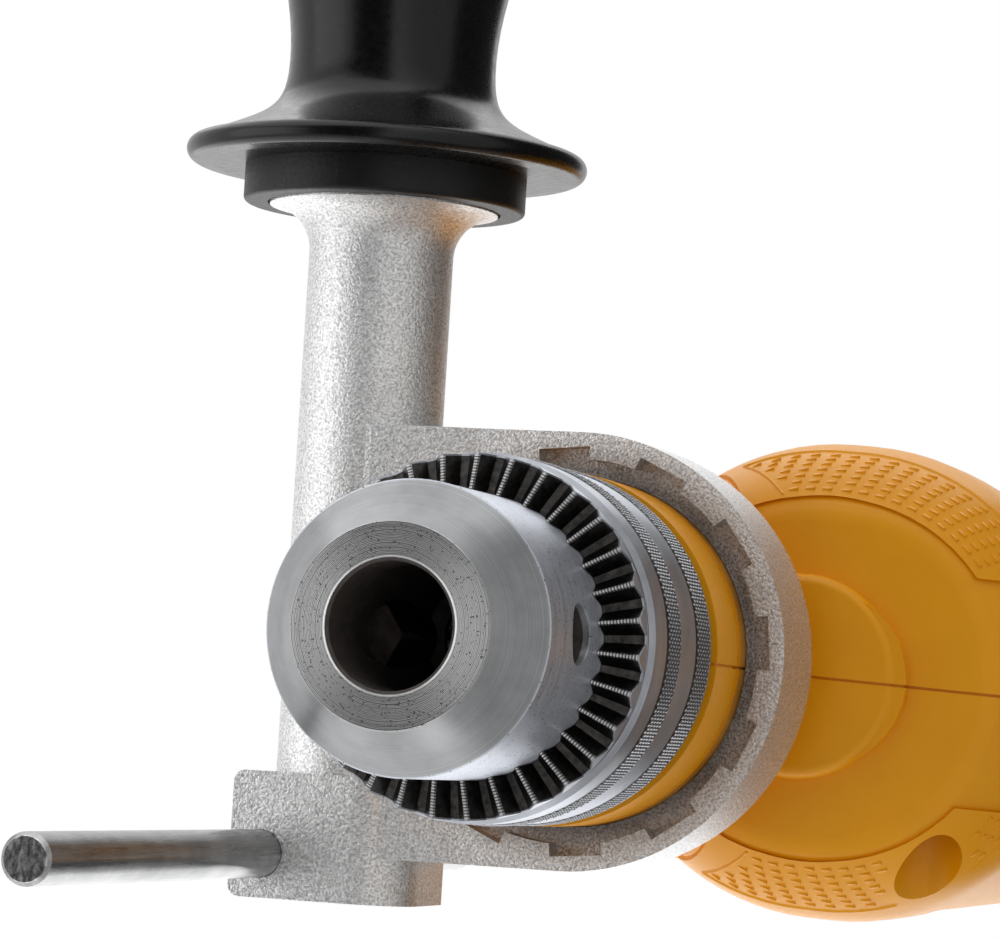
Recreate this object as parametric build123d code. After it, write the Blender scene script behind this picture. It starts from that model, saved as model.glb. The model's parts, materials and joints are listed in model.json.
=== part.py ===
from build123d import *
import os
from math import acos, cos, pi, radians, sin, sqrt, tan

# Hammer drill with a keyed chuck and a side handle, in millimetres and degrees.
# Frame: origin on the spindle axis at the front face of the collar, +X forward, +Z up,
# the pistol grip points down and the housing halves part at y = 0.

# Clearances
FIT = 0.05            # radial running clearance of a shaft in its hole
SEAT = 0.02           # radial clearance of pieces that are pressed or clamped together
FREE = 0.3            # clearance of a piece that slides or swings by hand
AXIAL = 0.1           # end clearance of pieces that turn or stand between shoulders
OVER = 1.0            # how far a cutter stands past what it cuts
FAR = 300.0           # outside the whole tool on every side
EDGE = 0.5            # chamfer of turned ends
SOFT_EDGE = 0.8       # rounded edge of small moulded pieces

# Collar, gear case and motor body
COLLAR_R = 21.5
COLLAR_LEN = 27.5
COLLAR_STEP = 1.0     # front of the gear case outside the collar
COLLAR_ROOT = 8.5     # collar running on inside the gear case
COLLAR_LAND = 9.8     # free length of the collar in front of the handle clamp
COLLAR_GROOVE = 0.6   # depth of the relief between the land and the clamp seat
MOTOR_DROP = 23.5     # motor axis below the spindle axis
GEAR_CASE_R = 25.8
GEAR_CASE_WALL = 3.2
GEAR_CASE_END = -66.0
GEAR_CASE_WAIST = 6.0 # end of the case's cone behind the front of the gear
MOTOR_R = 30.6        # half width of the motor body
MOTOR_RISE = -0.5     # centre of the upper round above the motor axis
MOTOR_SINK = 3.1      # centre of the lower round below the motor axis
MOTOR_FRONT = -33.0
MOTOR_NOSE_ROUND = 20.0
MOTOR_WALL = 3.2
MOTOR_BACK = -150.0   # end of the straight barrel
TAIL_X = -200.0       # where the motor body has run into the grip
TAIL_TAPER = 12.0
# Tail sections: share of its length, then shares of the taper taken inward, up at the top and up below
TAIL_SHARES = ((0.0, 0.0, 0.0, 0.0), (0.5, 0.36, 0.36, 0.2), (1.0, 1.0, 0.6, 0.5))
DISH_DEPTH = 2.2      # dish round the chin boss, behind the nose at the boss
DISH_SLOPE = 0.12     # fall of the dish to its rim
DISH_BLEND = 6.0      # rounding between the dish and the nose
DISH_UNDER = 2.0      # dish running on under the boss
DISH_LIFT = 0.05      # rim of the dish's cutter outside the nose
DISH_AHEAD = 5.0
BOSS_R = 13.0
BOSS_PROUD = 0.4
BOSS_ROOT = 12.0
BOSS_EDGE = 1.4
SEAM_W = 0.36         # groove along the parting line
SEAM_DEPTH = 0.4
SEAM_OVER = 2.0       # how far the groove's cutter stands outside the body
PAD_RAISE = 0.45
PAD_TOP = -16.0       # upper front corner of the cheek pads
PAD_RISE = 12.0       # climb of their upper edge
PAD_CLIMB = 20.0      # length of that climb
PAD_BACK = -64.0
PAD_INNER_R = 23.3    # edge of the pads round the dish
PAD_PART = 14.5       # edge of a pad from the parting plane

# Chuck
CHUCK_GAP = 1.4       # between the collar and the back of the chuck
CHUCK_LEN = 56.5
CHUCK_TURN = 4.8      # turn of the chuck about its axis at rest
NOSE_R = 11.2
NOSE_CONE = 6.1
CHUCK_BODY_R = 16.26
CHUCK_REAR_R = 19.7
CHUCK_BORE_R = 7.0
CHUCK_BORE_CHAMFER = 0.35
CHUCK_BORE_LAND = 8.0 # round mouth of the bore, in front of the jaw holes
CHUCK_BORE_RELIEF = 0.3
CHUCK_OPEN = 14.3     # between the jaws when they are fully open, as at rest
SLEEVE_R = 21.2
SLEEVE_LEN = 26.4
SLEEVE_CHAMFER = 0.6
SLEEVE_FIT = 0.1      # radial clearance of the sleeve on the chuck body
SLEEVE_TEETH = 31
SLEEVE_TURN = 10.3    # turn of the crown teeth at rest
CROWN_STEP = 0.4      # crown inside the sleeve's outer radius
CROWN_GROOVE_W = 1.6
CROWN_GROOVE = 0.9    # groove behind the crown, below the sleeve's surface
TOOTH_RISE = 4.3      # outer end of a crown tooth in front of the sleeve's rim
TOOTH_SLOPE = 1.6     # inner end of a crown tooth in front of its outer end
TOOTH_DEPTH = 2.4
TOOTH_GAP_TOP = 0.46  # half width of a tooth gap at its top and floor, in tooth pitches
TOOTH_GAP_FLOOR = 0.12
NUT_BACK = 17.6       # back of the split ring in front of the chuck's back face
NUT_LEN = 8.0
NUT_R = 18.5
NUT_GROOVE_R = 12.3
JAW_COUNT = 3
JAW_R = 3.8
JAW_ANGLE = 15.0
JAW_LEN = 29.0
JAW_CROSS = 2.5       # where the jaw axes meet in front of the nose
JAW_CLOSED_GAP = 0.25
JAW_EDGE = 0.3        # half width of a jaw's gripping edge
JAW_PROUD = 0.5       # closed jaw tips in front of the nose
KEY_HOLE_R = 3.5
KEY_HOLE_BACK = 17.6  # behind the nose
KEY_HOLE_DEPTH = 6.0
CHUCK_THREAD_R = 6.35
CHUCK_THREAD_LEN = 16.0
CHUCK_SCREW_R = 3.0
CHUCK_SCREW_HEAD_R = 5.0
CHUCK_SCREW_HEAD = 3.4
CHUCK_SCREW_LEN = 15.0
CHUCK_WEB = 1.6       # floor of the chuck bore

# Spindle line
SPINDLE_SHOULDER_R = 10.0
SPINDLE_SHOULDER_LEN = 5.9
SPINDLE_R = 7.5
GEAR_SEAT_R = 7.0
JOURNAL_R = 5.0
SPINDLE_BEARING_R = 16.0
SPINDLE_BEARING_W = 9.0
SEAL_W = 2.8
SEAL_BACK = 3.4
RATCHET_TEETH = 12
RATCHET_TOOTH = 1.5
RATCHET_LEAN = 0.4
RATCHET_HUB_WALL = 1.9
RATCHET_R = 15.0
RATCHET_RING = 3.2    # radial width of the toothed ring
MOVING_RATCHET_W = 5.0
RATCHET_HUB = 1.5
RATCHET_GAP = 2.5
RATCHET_HOLE = 1.5    # radial room of the spindle in the fixed ratchet
FIXED_RATCHET_SINK = 3.0
MOVING_RATCHET_SINK = 2.0
FIXED_RATCHET_W = 5.5
RATCHET_SEAT_R = 12.5 # opening behind the fixed ratchet
SPRING_WIRE_R = 0.7
SPRING_TURNS = 3
GEAR_TEETH = 60
GEAR_FRONT = -38.0
GEAR_ROOM_FRONT = -33.6
GEAR_W = 8.0
BUSH_WALL = 3.0
BUSH_LEN = 9.0
BUSH_SINK = 1.0       # bush inside the rear of the gear plate
SPINDLE_SHORT = 2.0   # end of the spindle inside the bush

# Gear teeth
PINION_TEETH = 6
PRESSURE_ANGLE = 25.0
PROFILE_SHIFT = 0.4
ADDENDUM = 0.8
DEDENDUM = 1.05
BACKLASH = 0.14

# Gear plate and motor
PLATE_FRONT = -50.0
PLATE_W = 12.0
PINION_LEN = 12.0
PINION_ROOM_R = 9.0
SHAFT_R = 4.0
SHAFT_ROOM = 2.5      # radial room of the pinion in the gear plate
BALL_BEARING_R = 11.0
BALL_BEARING_W = 7.0
BALL_COUNT = 8
BALL_SHARE = 0.28     # radius of a ball in the radial width of its bearing
RACE_SHARE = 0.55     # edge of the races from the ball's centre, in ball radii
FAN_R = 25.5
FAN_W = 9.0
FAN_BLADES = 11
FAN_HUB = 4.0
FAN_SHEET = 1.6
FAN_GAP = 2.5
CORE_FRONT = -84.0
CORE_LEN = 38.0
CORE_R = 15.2
CORE_SLOTS = 12
CORE_SLOT_W = 3.0
CORE_SLOT_DEPTH = 6.0
WINDING_END = 8.0
WINDING_SINK = 0.8    # windings below the core's outer radius
WINDING_HUB = 1.0     # windings round the shaft
AIR_GAP = 0.5
STATOR_WALL = 5.3
POLE_HALF_ANGLE = 52.0
COIL_END = 7.0
COIL_ANGLE = 2.0      # between the sides of a pole and its coil
COMMUTATOR_R = 11.5
COMMUTATOR_LEN = 15.0
COMMUTATOR_GAP = 1.0
COMMUTATOR_BARS = 24
COMMUTATOR_CUT = 0.8
COMMUTATOR_CUT_W = 0.6
REAR_BEARING_GAP = 3.0
BRUSH_W = 6.0
BRUSH_H = 9.0
BRUSH_LEN = 10.0
HOLDER_WALL = 1.6
HOLDER_GAP = 1.2      # between a brush holder and the commutator
BRUSH_SPRING_R = 2.4
BRUSH_SPRING_WIRE = 0.45
BRUSH_SPRING_TURNS = 2

# Pistol grip: height, centre x, half depth, half width
GRIP_SECTIONS = (
    (12.0, -186.0, 14.0, 9.0),
    (7.0, -187.0, 26.0, 17.0),
    (-5.0, -188.5, 33.0, 22.0),
    (-28.0, -190.0, 34.5, 24.0),
    (-52.0, -187.0, 29.0, 21.0),
    (-80.0, -186.5, 24.0, 17.5),
    (-120.0, -192.0, 22.5, 16.5),
    (-155.0, -198.0, 24.0, 17.5),
    (-178.0, -201.5, 25.5, 18.5),
)
GRIP_WALL = 3.0
GRIP_CAVITY_TOP = 2.0
GRIP_FLOOR = 6.0
OVERMOULD = 1.6
OVERMOULD_TOP = (-210.0, 4.0)
OVERMOULD_MID = (-193.0, -85.0)
OVERMOULD_LOW = (-209.0, -168.0)

# Controls
TRIGGER_FRONT = -150.5
TRIGGER_BACK = -172.5
TRIGGER_TOP = -66.5
TRIGGER_LOW = -103.0
TRIGGER_DISH = 4.0
TRIGGER_TOE = 1.5
TRIGGER_ROUND = 3.0
TRIGGER_HALF_W = 8.0
TRIGGER_TRAVEL = 7.0
TRIGGER_SPRING_R = 2.6
TRIGGER_SPRING_WIRE = 0.5
TRIGGER_SPRING_POCKET = 8.0
TRIGGER_SPRING_TURNS = 6
SWITCH_LEN = 19.0
SWITCH_HALF_W = 11.0
SWITCH_ROUND = 1.5
SWITCH_RISE = 2.5     # switch above and below the trigger
LOCK_X = -174.0
LOCK_Z = -84.0
LOCK_R = 4.0
LOCK_OUT = 17.4
LOCK_LEN = 7.0
LEVER_PIVOT = -170.0
LEVER_TIP = -147.0
LEVER_HALF_W = 3.0
LEVER_HUB_R = 3.8
LEVER_ROOM = 2.6      # room for the lever's swing
LEVER_TOP = -59.0
LEVER_H = 5.0
SELECTOR_X = -57.0
SELECTOR_LEN = 9.4
SELECTOR_HALF_W = 4.0
SELECTOR_TRAVEL = 8.0
SELECTOR_TOP = 28.6
SELECTOR_FLOOR = 23.4
SELECTOR_CUT = 0.8    # depth and width of the grooves in the selector
SELECTOR_PITCH = 2.0

# Cord gland
GLAND_R = 7.0
GLAND_FLANGE_R = 9.5
GLAND_FLANGE = 4.0
GLAND_PROUD = 8.0
CORD_BORE_R = 4.25

# Vents: first slot, slots, pitch, middle height and slot height
REAR_VENTS = (-133.5, 4, 4.6, -20.0, 18.0)
FRONT_VENTS = (-67.0, 2, 4.6, -26.0, 22.0)
VENT_W = 2.4

# Housing screws: x, z, depth of the head face from the parting plane, reach past the plane
SCREWS = (
    (-41.5, -41.1, 11.0, 15.0),
    (-72.0, 12.0, 18.0, 15.0),
    (-158.0, -2.0, 18.0, 15.0),
    (-196.0, -20.0, 16.0, 14.0),
    (-186.0, -122.0, 11.5, 10.0),
    (-199.0, -158.0, 12.5, 11.0),
)
SCREW_R = 1.9
SCREW_HEAD_R = 3.6
SCREW_HEAD = 2.6
SCREW_RECESS_R = 4.1
SCREW_BOSS_R = 4.6
SCREW_END = 0.5       # room past the end of a screw
SLOT_W = 1.2          # slots in the heads of all screws
SLOT_LEN = 4.4
SLOT_DEPTH = 1.2
BOSSED_SCREWS = 3     # the last screws of the list stand in bosses inside the grip

# Side handle
HANDLE_ANGLE = 2.66   # swivel of the handle about the collar at rest
CLAMP_FRONT = -11.0
CLAMP_W = 15.1
CLAMP_R = 27.0
CLAMP_FIT = 0.08
CLAMP_RECESS = 3.0
CLAMP_RECESS_R = 23.7
CLAMP_NOTCH = 1.4     # how far the notches reach past the recess
CLAMP_NOTCHES = 12
CLAMP_NOTCH_TURN = 5.0
CLAMP_SLIT = 3.0
PLATE_RAMP = 1.3      # rise of the plate's front face towards the post
PLATE_RAMP_START = 13.0
PLATE_RAMP_END = 27.0
POST_OFFSET = 30.3
POST_R = 9.2
POST_TOP = 55.8
POST_FLARE_R = 14.6
POST_FLARE = 6.6
POST_BEND = 4.1       # middle of the flare's curve, above its start and outside the post
POST_BEND_OUT = 1.62
POST_RIM = 0.8
FOOT_TOP = -17.0
FOOT_LOW = -32.8
FOOT_NEAR = 19.5
FOOT_FAR = 42.2
FOOT_PROUD = 1.8      # foot in front of the clamp's front face
FOOT_ROUND = 7.0      # near front corner of the foot
FOOT_EDGE = 1.5
ROD_R = 3.0
ROD_Y = -27.3
ROD_Z = 38.3
ROD_FRONT = 62.5
ROD_LEN = 152.0
STUD_R = 4.0
STUD_LOW = -25.0
STUD_TOP = 128.0
RING_R = 18.0
RING_H = 4.0
RING_SKIRT = 0.6      # how far the ring hangs round the top of the post
FLANGE_R = 25.6
FLANGE_EDGE = 1.5     # widest place of the flange above its lower face
FLANGE_TOE = 3.4      # edge of the lower face inside the rim
FLANGE_HEEL_AT = 0.2  # start of the rim's curve above the lower face, and inside the rim
FLANGE_HEEL = 1.6
FLANGE_BROW_AT = 3.1  # end of that curve
FLANGE_BROW = 1.8
GRIP_SWELL = ((5.6, 5.0), (8.6, 1.1))  # foot of the grip, above the lower face and outside the neck
GRIP_NECK_R = 13.2
GRIP_BELLY_R = 16.6
GRIP_WAIST_R = 15.0
GRIP_END_R = 17.0
GRIP_LEN = 116.0
GRIP_NECK_AT = 13.4   # places of neck, belly and waist above the flange
GRIP_BELLY_AT = 34.0
GRIP_WAIST_AT = 76.0
GRIP_CAP = 12.0
GRIP_CAP_R = 6.5
GRIP_CAP_BEND_AT = 3.4  # middle of the rounded end, below the top and inside the end's radius
GRIP_CAP_BEND = 3.2


# Places worked out from the driving dimensions
motor_z = -MOTOR_DROP
body_z = motor_z + (MOTOR_RISE - MOTOR_SINK) / 2
chuck_back = CHUCK_GAP
nose_x = chuck_back + CHUCK_LEN
sleeve_front = chuck_back + SLEEVE_LEN
nut_back = chuck_back + NUT_BACK
nut_front = nut_back + NUT_LEN
jaw_cross_x = nose_x + JAW_CROSS
jaw_travel = (CHUCK_OPEN / 2 - JAW_CLOSED_GAP) / sin(radians(JAW_ANGLE))
jaw_tip_x = nose_x + JAW_PROUD - jaw_travel * cos(radians(JAW_ANGLE))
bearing_front = chuck_back - SPINDLE_SHOULDER_LEN
bearing_back = bearing_front - SPINDLE_BEARING_W
moving_back = bearing_back - RATCHET_HUB - MOVING_RATCHET_W
fixed_front = moving_back - RATCHET_GAP
fixed_back = fixed_front - FIXED_RATCHET_W
gear_back = GEAR_FRONT - GEAR_W
gear_module = 2 * MOTOR_DROP / (GEAR_TEETH + PINION_TEETH)
gear_room_r = GEAR_CASE_R - GEAR_CASE_WALL
plate_back = PLATE_FRONT - PLATE_W
pinion_front = GEAR_FRONT + (PINION_LEN - GEAR_W) / 2
pinion_back = pinion_front - PINION_LEN
bush_back = plate_back + BUSH_SINK
bush_front = bush_back + BUSH_LEN
spindle_back = bush_back + SPINDLE_SHORT
motor_room_r = MOTOR_R - MOTOR_WALL
front_bearing_back = plate_back + EDGE
fan_front = plate_back - FAN_GAP
core_back = CORE_FRONT - CORE_LEN
commutator_front = core_back - WINDING_END - COMMUTATOR_GAP
commutator_back = commutator_front - COMMUTATOR_LEN
rear_bearing_front = commutator_back - REAR_BEARING_GAP
rear_bearing_back = rear_bearing_front - BALL_BEARING_W
stator_r = motor_room_r - FREE
brush_x = (commutator_front + commutator_back) / 2
switch_front = TRIGGER_BACK - TRIGGER_TRAVEL - EDGE
trigger_mid = (TRIGGER_TOP + TRIGGER_LOW) / 2
grip_low = GRIP_SECTIONS[-1][0]
gland_x = GRIP_SECTIONS[-1][1]
grip_cavity_low = grip_low + GRIP_FLOOR
clamp_back = CLAMP_FRONT - CLAMP_W
clamp_mid = (CLAMP_FRONT + clamp_back) / 2
casting_front = CLAMP_FRONT + max(PLATE_RAMP, FOOT_PROUD) + OVER
flange_low = POST_TOP + RING_H


# Basic shapes along the axes
def rod_x(radius, x0, x1, y=0.0, z=0.0):
    low = min(x0, x1)
    bar = Cylinder(radius, abs(x1 - x0), align=(Align.CENTER, Align.CENTER, Align.MIN))
    return Pos(low, y, z) * Rot(0, 90, 0) * bar


def rod_y(radius, y0, y1, x=0.0, z=0.0):
    bar = Cylinder(radius, abs(y1 - y0), align=(Align.CENTER, Align.CENTER, Align.MIN))
    return Pos(x, min(y0, y1), z) * Rot(-90, 0, 0) * bar


def rod_z(radius, z0, z1, x=0.0, y=0.0):
    bar = Cylinder(radius, abs(z1 - z0), align=(Align.CENTER, Align.CENTER, Align.MIN))
    return Pos(x, y, min(z0, z1)) * bar


def ring_x(outer, inner, x0, x1, z=0.0):
    return rod_x(outer, x0, x1, z=z) - rod_x(inner, x0, x1, z=z)


def block(x0, x1, y0, y1, z0, z1):
    middle = Pos((x0 + x1) / 2, (y0 + y1) / 2, (z0 + z1) / 2)
    return middle * Box(abs(x1 - x0), abs(y1 - y0), abs(z1 - z0))


def turned_x(points, z=0.0):
    outline = make_face(Polyline(*points, close=True))
    return Pos(0, 0, z) * revolve(Plane.XZ * outline, Axis.X)


def prism_y(outline, y0, y1):
    return extrude(Pos(0, y0, 0) * (Plane.XZ * outline), amount=y1 - y0, dir=(0, 1, 0))


def prism_x(outline, x0, x1):
    return extrude(Pos(x0, 0, 0) * (Plane.YZ * outline), amount=x1 - x0, dir=(1, 0, 0))


def around_x(shape, count, start=0.0):
    return [Rot(start + 360 * i / count, 0, 0) * shape for i in range(count)]


def about_motor(shape, count, start=0.0):
    lift = Pos(0, 0, motor_z)
    return [lift * turned for turned in around_x(shape, count, start)]


# Compression spring along +Z from the origin, one smooth tube of circular arcs
def coil(radius, length, turns, wire):
    rise = (length - 2 * wire) / turns
    quarter = pi / 2
    slope = rise / (2 * pi)

    def point(angle):
        return Vector(radius * cos(angle), radius * sin(angle), wire + slope * angle)

    def tangent(angle):
        return Vector(-radius * sin(angle), radius * cos(angle), slope).normalized()

    arcs = []
    for i in range(4 * turns):
        start, end = point(quarter * i), point(quarter * (i + 1))
        t0, t1 = tangent(quarter * i), tangent(quarter * (i + 1))
        chord, both = end - start, t0 + t1
        a = both.dot(both) - 4
        b = -2 * chord.dot(both)
        reach = (-b - sqrt(b * b - 4 * a * chord.dot(chord))) / (2 * a)
        middle = (start + t0 * reach + end - t1 * reach) * 0.5
        across = (end - t1 * reach) - (start + t0 * reach)
        arcs.append(TangentArc(start, middle, tangent=t0))
        arcs.append(TangentArc(middle, end, tangent=across.normalized()))
    path = Wire(arcs)
    section = Plane(origin=point(0), z_dir=tangent(0)) * Circle(wire)
    return sweep(section, path=path)


# Involute outline of a gear, centred on the origin of its plane
def gear_outline(teeth, shift, flank_steps, turn):
    pitch_r = gear_module * teeth / 2
    base_r = pitch_r * cos(radians(PRESSURE_ANGLE))
    tip_r = pitch_r + (ADDENDUM + shift) * gear_module
    root_r = pitch_r - (DEDENDUM - shift) * gear_module
    start_r = max(base_r, root_r)
    half = (pi / 2 + 2 * shift * tan(radians(PRESSURE_ANGLE))) / teeth - BACKLASH / (2 * pitch_r)
    lean = tan(radians(PRESSURE_ANGLE)) - radians(PRESSURE_ANGLE)

    def half_angle(radius):
        pressure = acos(min(1.0, base_r / radius))
        return half + lean - (tan(pressure) - pressure)

    flank = [start_r + (tip_r - start_r) * i / flank_steps for i in range(flank_steps + 1)]
    side = [(r, half_angle(r)) for r in flank]
    if root_r < base_r:
        side.insert(0, (root_r, half_angle(start_r)))
    points = []
    for i in range(teeth):
        middle = radians(turn) + 2 * pi * i / teeth
        for r, a in side:
            points.append((r * cos(middle - a), r * sin(middle - a)))
        for r, a in reversed(side):
            points.append((r * cos(middle + a), r * sin(middle + a)))
    return make_face(Polyline(*points, close=True))


# Ball bearing on an X axis: outer ring, inner ring and balls
def bearing(outer, inner, x0, x1, z):
    middle = (outer + inner) / 2
    ball = BALL_SHARE * (outer - inner)
    centre = (x0 + x1) / 2
    track = Pos(centre, 0, z) * Rot(0, 90, 0) * Torus(middle, ball + FIT)
    outer_ring = ring_x(outer, middle + RACE_SHARE * ball, x0, x1, z) - track
    inner_ring = ring_x(middle - RACE_SHARE * ball, inner, x0, x1, z) - track
    one = Pos(centre, 0, middle) * Sphere(ball)
    balls = [Pos(0, 0, z) * turned for turned in around_x(one, BALL_COUNT)]
    return outer_ring, inner_ring, Compound(children=balls)


# Upright round-ended section of the motor body
def stadium(half_width, top, low):
    return Pos(0, (top + low) / 2) * SlotCenterToCenter(top - low, 2 * half_width, rotation=90)


# Straight front of the motor body with a rounded nose, drawn in by inset
def motor_barrel(inset):
    section = stadium(MOTOR_R - inset, motor_z + MOTOR_RISE, motor_z - MOTOR_SINK)
    barrel = prism_x(section, MOTOR_BACK, MOTOR_FRONT - inset)
    return fillet(barrel.edges().group_by(Axis.X)[-1], MOTOR_NOSE_ROUND - inset)


# Rear of the motor body, drawn together into the grip
def motor_tail():
    upper, lower = motor_z + MOTOR_RISE, motor_z - MOTOR_SINK
    rings = []
    for along, inward, top_up, low_up in TAIL_SHARES:
        x = MOTOR_BACK + along * (TAIL_X - MOTOR_BACK)
        top, low = upper + top_up * TAIL_TAPER, lower + low_up * TAIL_TAPER
        rings.append(Pos(x, 0, 0) * (Plane.YZ * stadium(MOTOR_R - inward * TAIL_TAPER, top, low)))
    return loft(rings)


# Gear case behind the collar, with a domed rear
def gear_case():
    front, waist = -COLLAR_LEN, GEAR_FRONT - GEAR_CASE_WAIST
    case = turned_x([
        (front, 0), (front, COLLAR_R + COLLAR_STEP), (waist, GEAR_CASE_R), (GEAR_CASE_END, GEAR_CASE_R),
        (GEAR_CASE_END, 0),
    ])
    return case + Pos(GEAR_CASE_END, 0, 0) * Sphere(GEAR_CASE_R)


def grip_body(inset, top=None, low=None):
    rings = [Pos(cx, 0, z) * Ellipse(a - inset, b - inset) for z, cx, a, b in GRIP_SECTIONS]
    body = loft(rings)
    if top is not None:
        body = body & block(-FAR, 0, -FAR, FAR, low, top)
    return body


# Rear zone of the grip that the soft skin covers
def overmould_skin():
    edge = ThreePointArc(OVERMOULD_TOP, OVERMOULD_MID, OVERMOULD_LOW)
    back = Polyline(OVERMOULD_LOW, (-FAR, OVERMOULD_LOW[1]), (-FAR, OVERMOULD_TOP[1]), OVERMOULD_TOP)
    zone = prism_y(make_face([edge, back]), -FAR, FAR)
    return (grip_body(0) & zone) - grip_body(OVERMOULD)


# Section of the dish round the chin boss: a flat cone, blended into the rounded nose at its rim
def dish_outline():
    reach = MOTOR_NOSE_ROUND + DISH_LIFT - DISH_BLEND
    round_x, round_r = MOTOR_FRONT - MOTOR_NOSE_ROUND, MOTOR_R - MOTOR_NOSE_ROUND
    lean = sqrt(1 + DISH_SLOPE ** 2)
    level = MOTOR_FRONT - DISH_DEPTH + DISH_SLOPE * BOSS_R
    offset_x = level - DISH_BLEND * lean - round_x
    half = (round_r + DISH_SLOPE * offset_x) / lean ** 2
    rest = (round_r ** 2 + offset_x ** 2 - reach ** 2) / lean ** 2
    centre_r = half + sqrt(half ** 2 - rest)
    centre = Vector(round_x + offset_x - DISH_SLOPE * centre_r, centre_r)
    down = Vector(1, DISH_SLOPE).normalized()
    out = (centre - Vector(round_x, round_r)).normalized()
    foot, rim = centre + down * DISH_BLEND, centre + out * DISH_BLEND
    bend = centre + (down + out).normalized() * DISH_BLEND
    inner_r = BOSS_R - DISH_UNDER
    inner = Vector(level - DISH_SLOPE * inner_r, inner_r)
    ahead = MOTOR_FRONT + DISH_AHEAD
    sides = Polyline(rim, (ahead, rim.Y), (ahead, inner_r), inner, foot)
    return make_face([ThreePointArc(foot, bend, rim), sides])


# Dish cutter, which follows the round-ended section of the motor body
def chin_dish():
    outline = dish_outline()
    upper, lower = motor_z + MOTOR_RISE, motor_z - MOTOR_SINK
    over = revolve(Rot(-90, 0, 0) * (Plane.XZ * outline), Axis.X, 180)
    under = revolve(Rot(90, 0, 0) * (Plane.XZ * outline), Axis.X, 180)
    flank = extrude(Pos(0, 0, lower) * outline, amount=upper - lower)
    return Pos(0, 0, upper) * over + Pos(0, 0, lower) * under + flank + mirror(flank, Plane.XZ)


def collar():
    relief, relief_r = -COLLAR_LAND, COLLAR_R - COLLAR_GROOVE
    root = -COLLAR_LEN - COLLAR_ROOT
    return turned_x([
        (0, 0), (0, COLLAR_R), (relief, COLLAR_R), (relief, relief_r), (CLAMP_FRONT, relief_r),
        (CLAMP_FRONT, COLLAR_R), (root, COLLAR_R), (root, 0),
    ])


def vent_cuts(first, count, pitch, middle, height):
    return [block(first - pitch * i - VENT_W / 2, first - pitch * i + VENT_W / 2, -FAR, FAR,
                  middle - height / 2, middle + height / 2) for i in range(count)]


# Rooms inside the housing
def housing_rooms():
    return [
        rod_x(SPINDLE_BEARING_R + FIT, OVER, fixed_back),
        rod_x(RATCHET_SEAT_R, GEAR_ROOM_FRONT, fixed_back),
        rod_x(gear_room_r, plate_back, GEAR_ROOM_FRONT),
        rod_x(PINION_ROOM_R, PLATE_FRONT, pinion_front + OVER, z=motor_z),
        rod_x(motor_room_r, rear_bearing_front + EDGE, PLATE_FRONT, z=motor_z),
        rod_x(BALL_BEARING_R + SEAT, rear_bearing_back - EDGE, rear_bearing_front + OVER, z=motor_z),
        grip_body(GRIP_WALL, GRIP_CAVITY_TOP, grip_cavity_low),
    ]


def control_cuts():
    lever_half = LEVER_HALF_W + LEVER_ROOM
    return [
        block(TRIGGER_BACK - TRIGGER_TRAVEL - OVER, TRIGGER_FRONT, -TRIGGER_HALF_W - FREE,
              TRIGGER_HALF_W + FREE, TRIGGER_LOW - FREE, TRIGGER_TOP + FREE),
        block(LEVER_PIVOT - lever_half, LEVER_TIP, -lever_half, lever_half,
              LEVER_TOP - LEVER_H - FREE, LEVER_TOP + FREE),
        rod_y(LOCK_R + FIT, LOCK_OUT - 2 * LOCK_LEN, FAR, LOCK_X, LOCK_Z),
        block(SELECTOR_X - SELECTOR_LEN / 2 - FREE, SELECTOR_X + SELECTOR_LEN / 2 + FREE,
              -SELECTOR_TRAVEL / 2 - SELECTOR_HALF_W - FREE,
              SELECTOR_TRAVEL / 2 + SELECTOR_HALF_W + FREE, SELECTOR_FLOOR, FAR),
        rod_z(GLAND_R + FIT, grip_low - OVER, grip_cavity_low + OVER, gland_x),
    ]


def screw_cuts():
    cuts = []
    for x, z, head, reach in SCREWS:
        cuts.append(rod_y(SCREW_R + FIT, -head, reach, x, z))
        cuts.append(rod_y(SCREW_RECESS_R, -FAR, -head + SCREW_HEAD, x, z))
    return cuts


def screw_bosses():
    inner = grip_body(EDGE)
    return [rod_y(SCREW_BOSS_R, -FAR, FAR, x, z) & inner for x, z, head, reach in SCREWS[-BOSSED_SCREWS:]]


# Textured cheek pads, raised a little from the motor body
def cheek_pads():
    low = motor_z - MOTOR_SINK - MOTOR_R - OVER
    shoulder = MOTOR_FRONT - PAD_CLIMB
    high = PAD_TOP + PAD_RISE
    edge = make_face(Polyline((MOTOR_FRONT, PAD_TOP), (shoulder, high), (PAD_BACK, high), (PAD_BACK, low),
                              (MOTOR_FRONT, low), close=True))
    back = PAD_BACK - OVER
    zone = prism_y(edge, -FAR, FAR) - rod_x(PAD_INNER_R, back, 0, z=body_z)
    zone = zone - block(back, 0, -PAD_PART, PAD_PART, low - OVER, body_z)
    return motor_barrel(-PAD_RAISE) & zone


# Groove along the parting line, between the body's outline drawn in and the outline drawn out
def parting_groove(body):
    outline = section(body, section_by=Plane.XZ)
    core = outer = outline
    for dx in (-1, 1):
        for dz in (-1, 1):
            core = core & (Pos(dx * SEAM_DEPTH, 0, dz * SEAM_DEPTH) * outline)
            outer = outer + (Pos(dx * SEAM_OVER, 0, dz * SEAM_OVER) * outline)
    return extrude(outer - core, amount=SEAM_W / 2, both=True)


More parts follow.
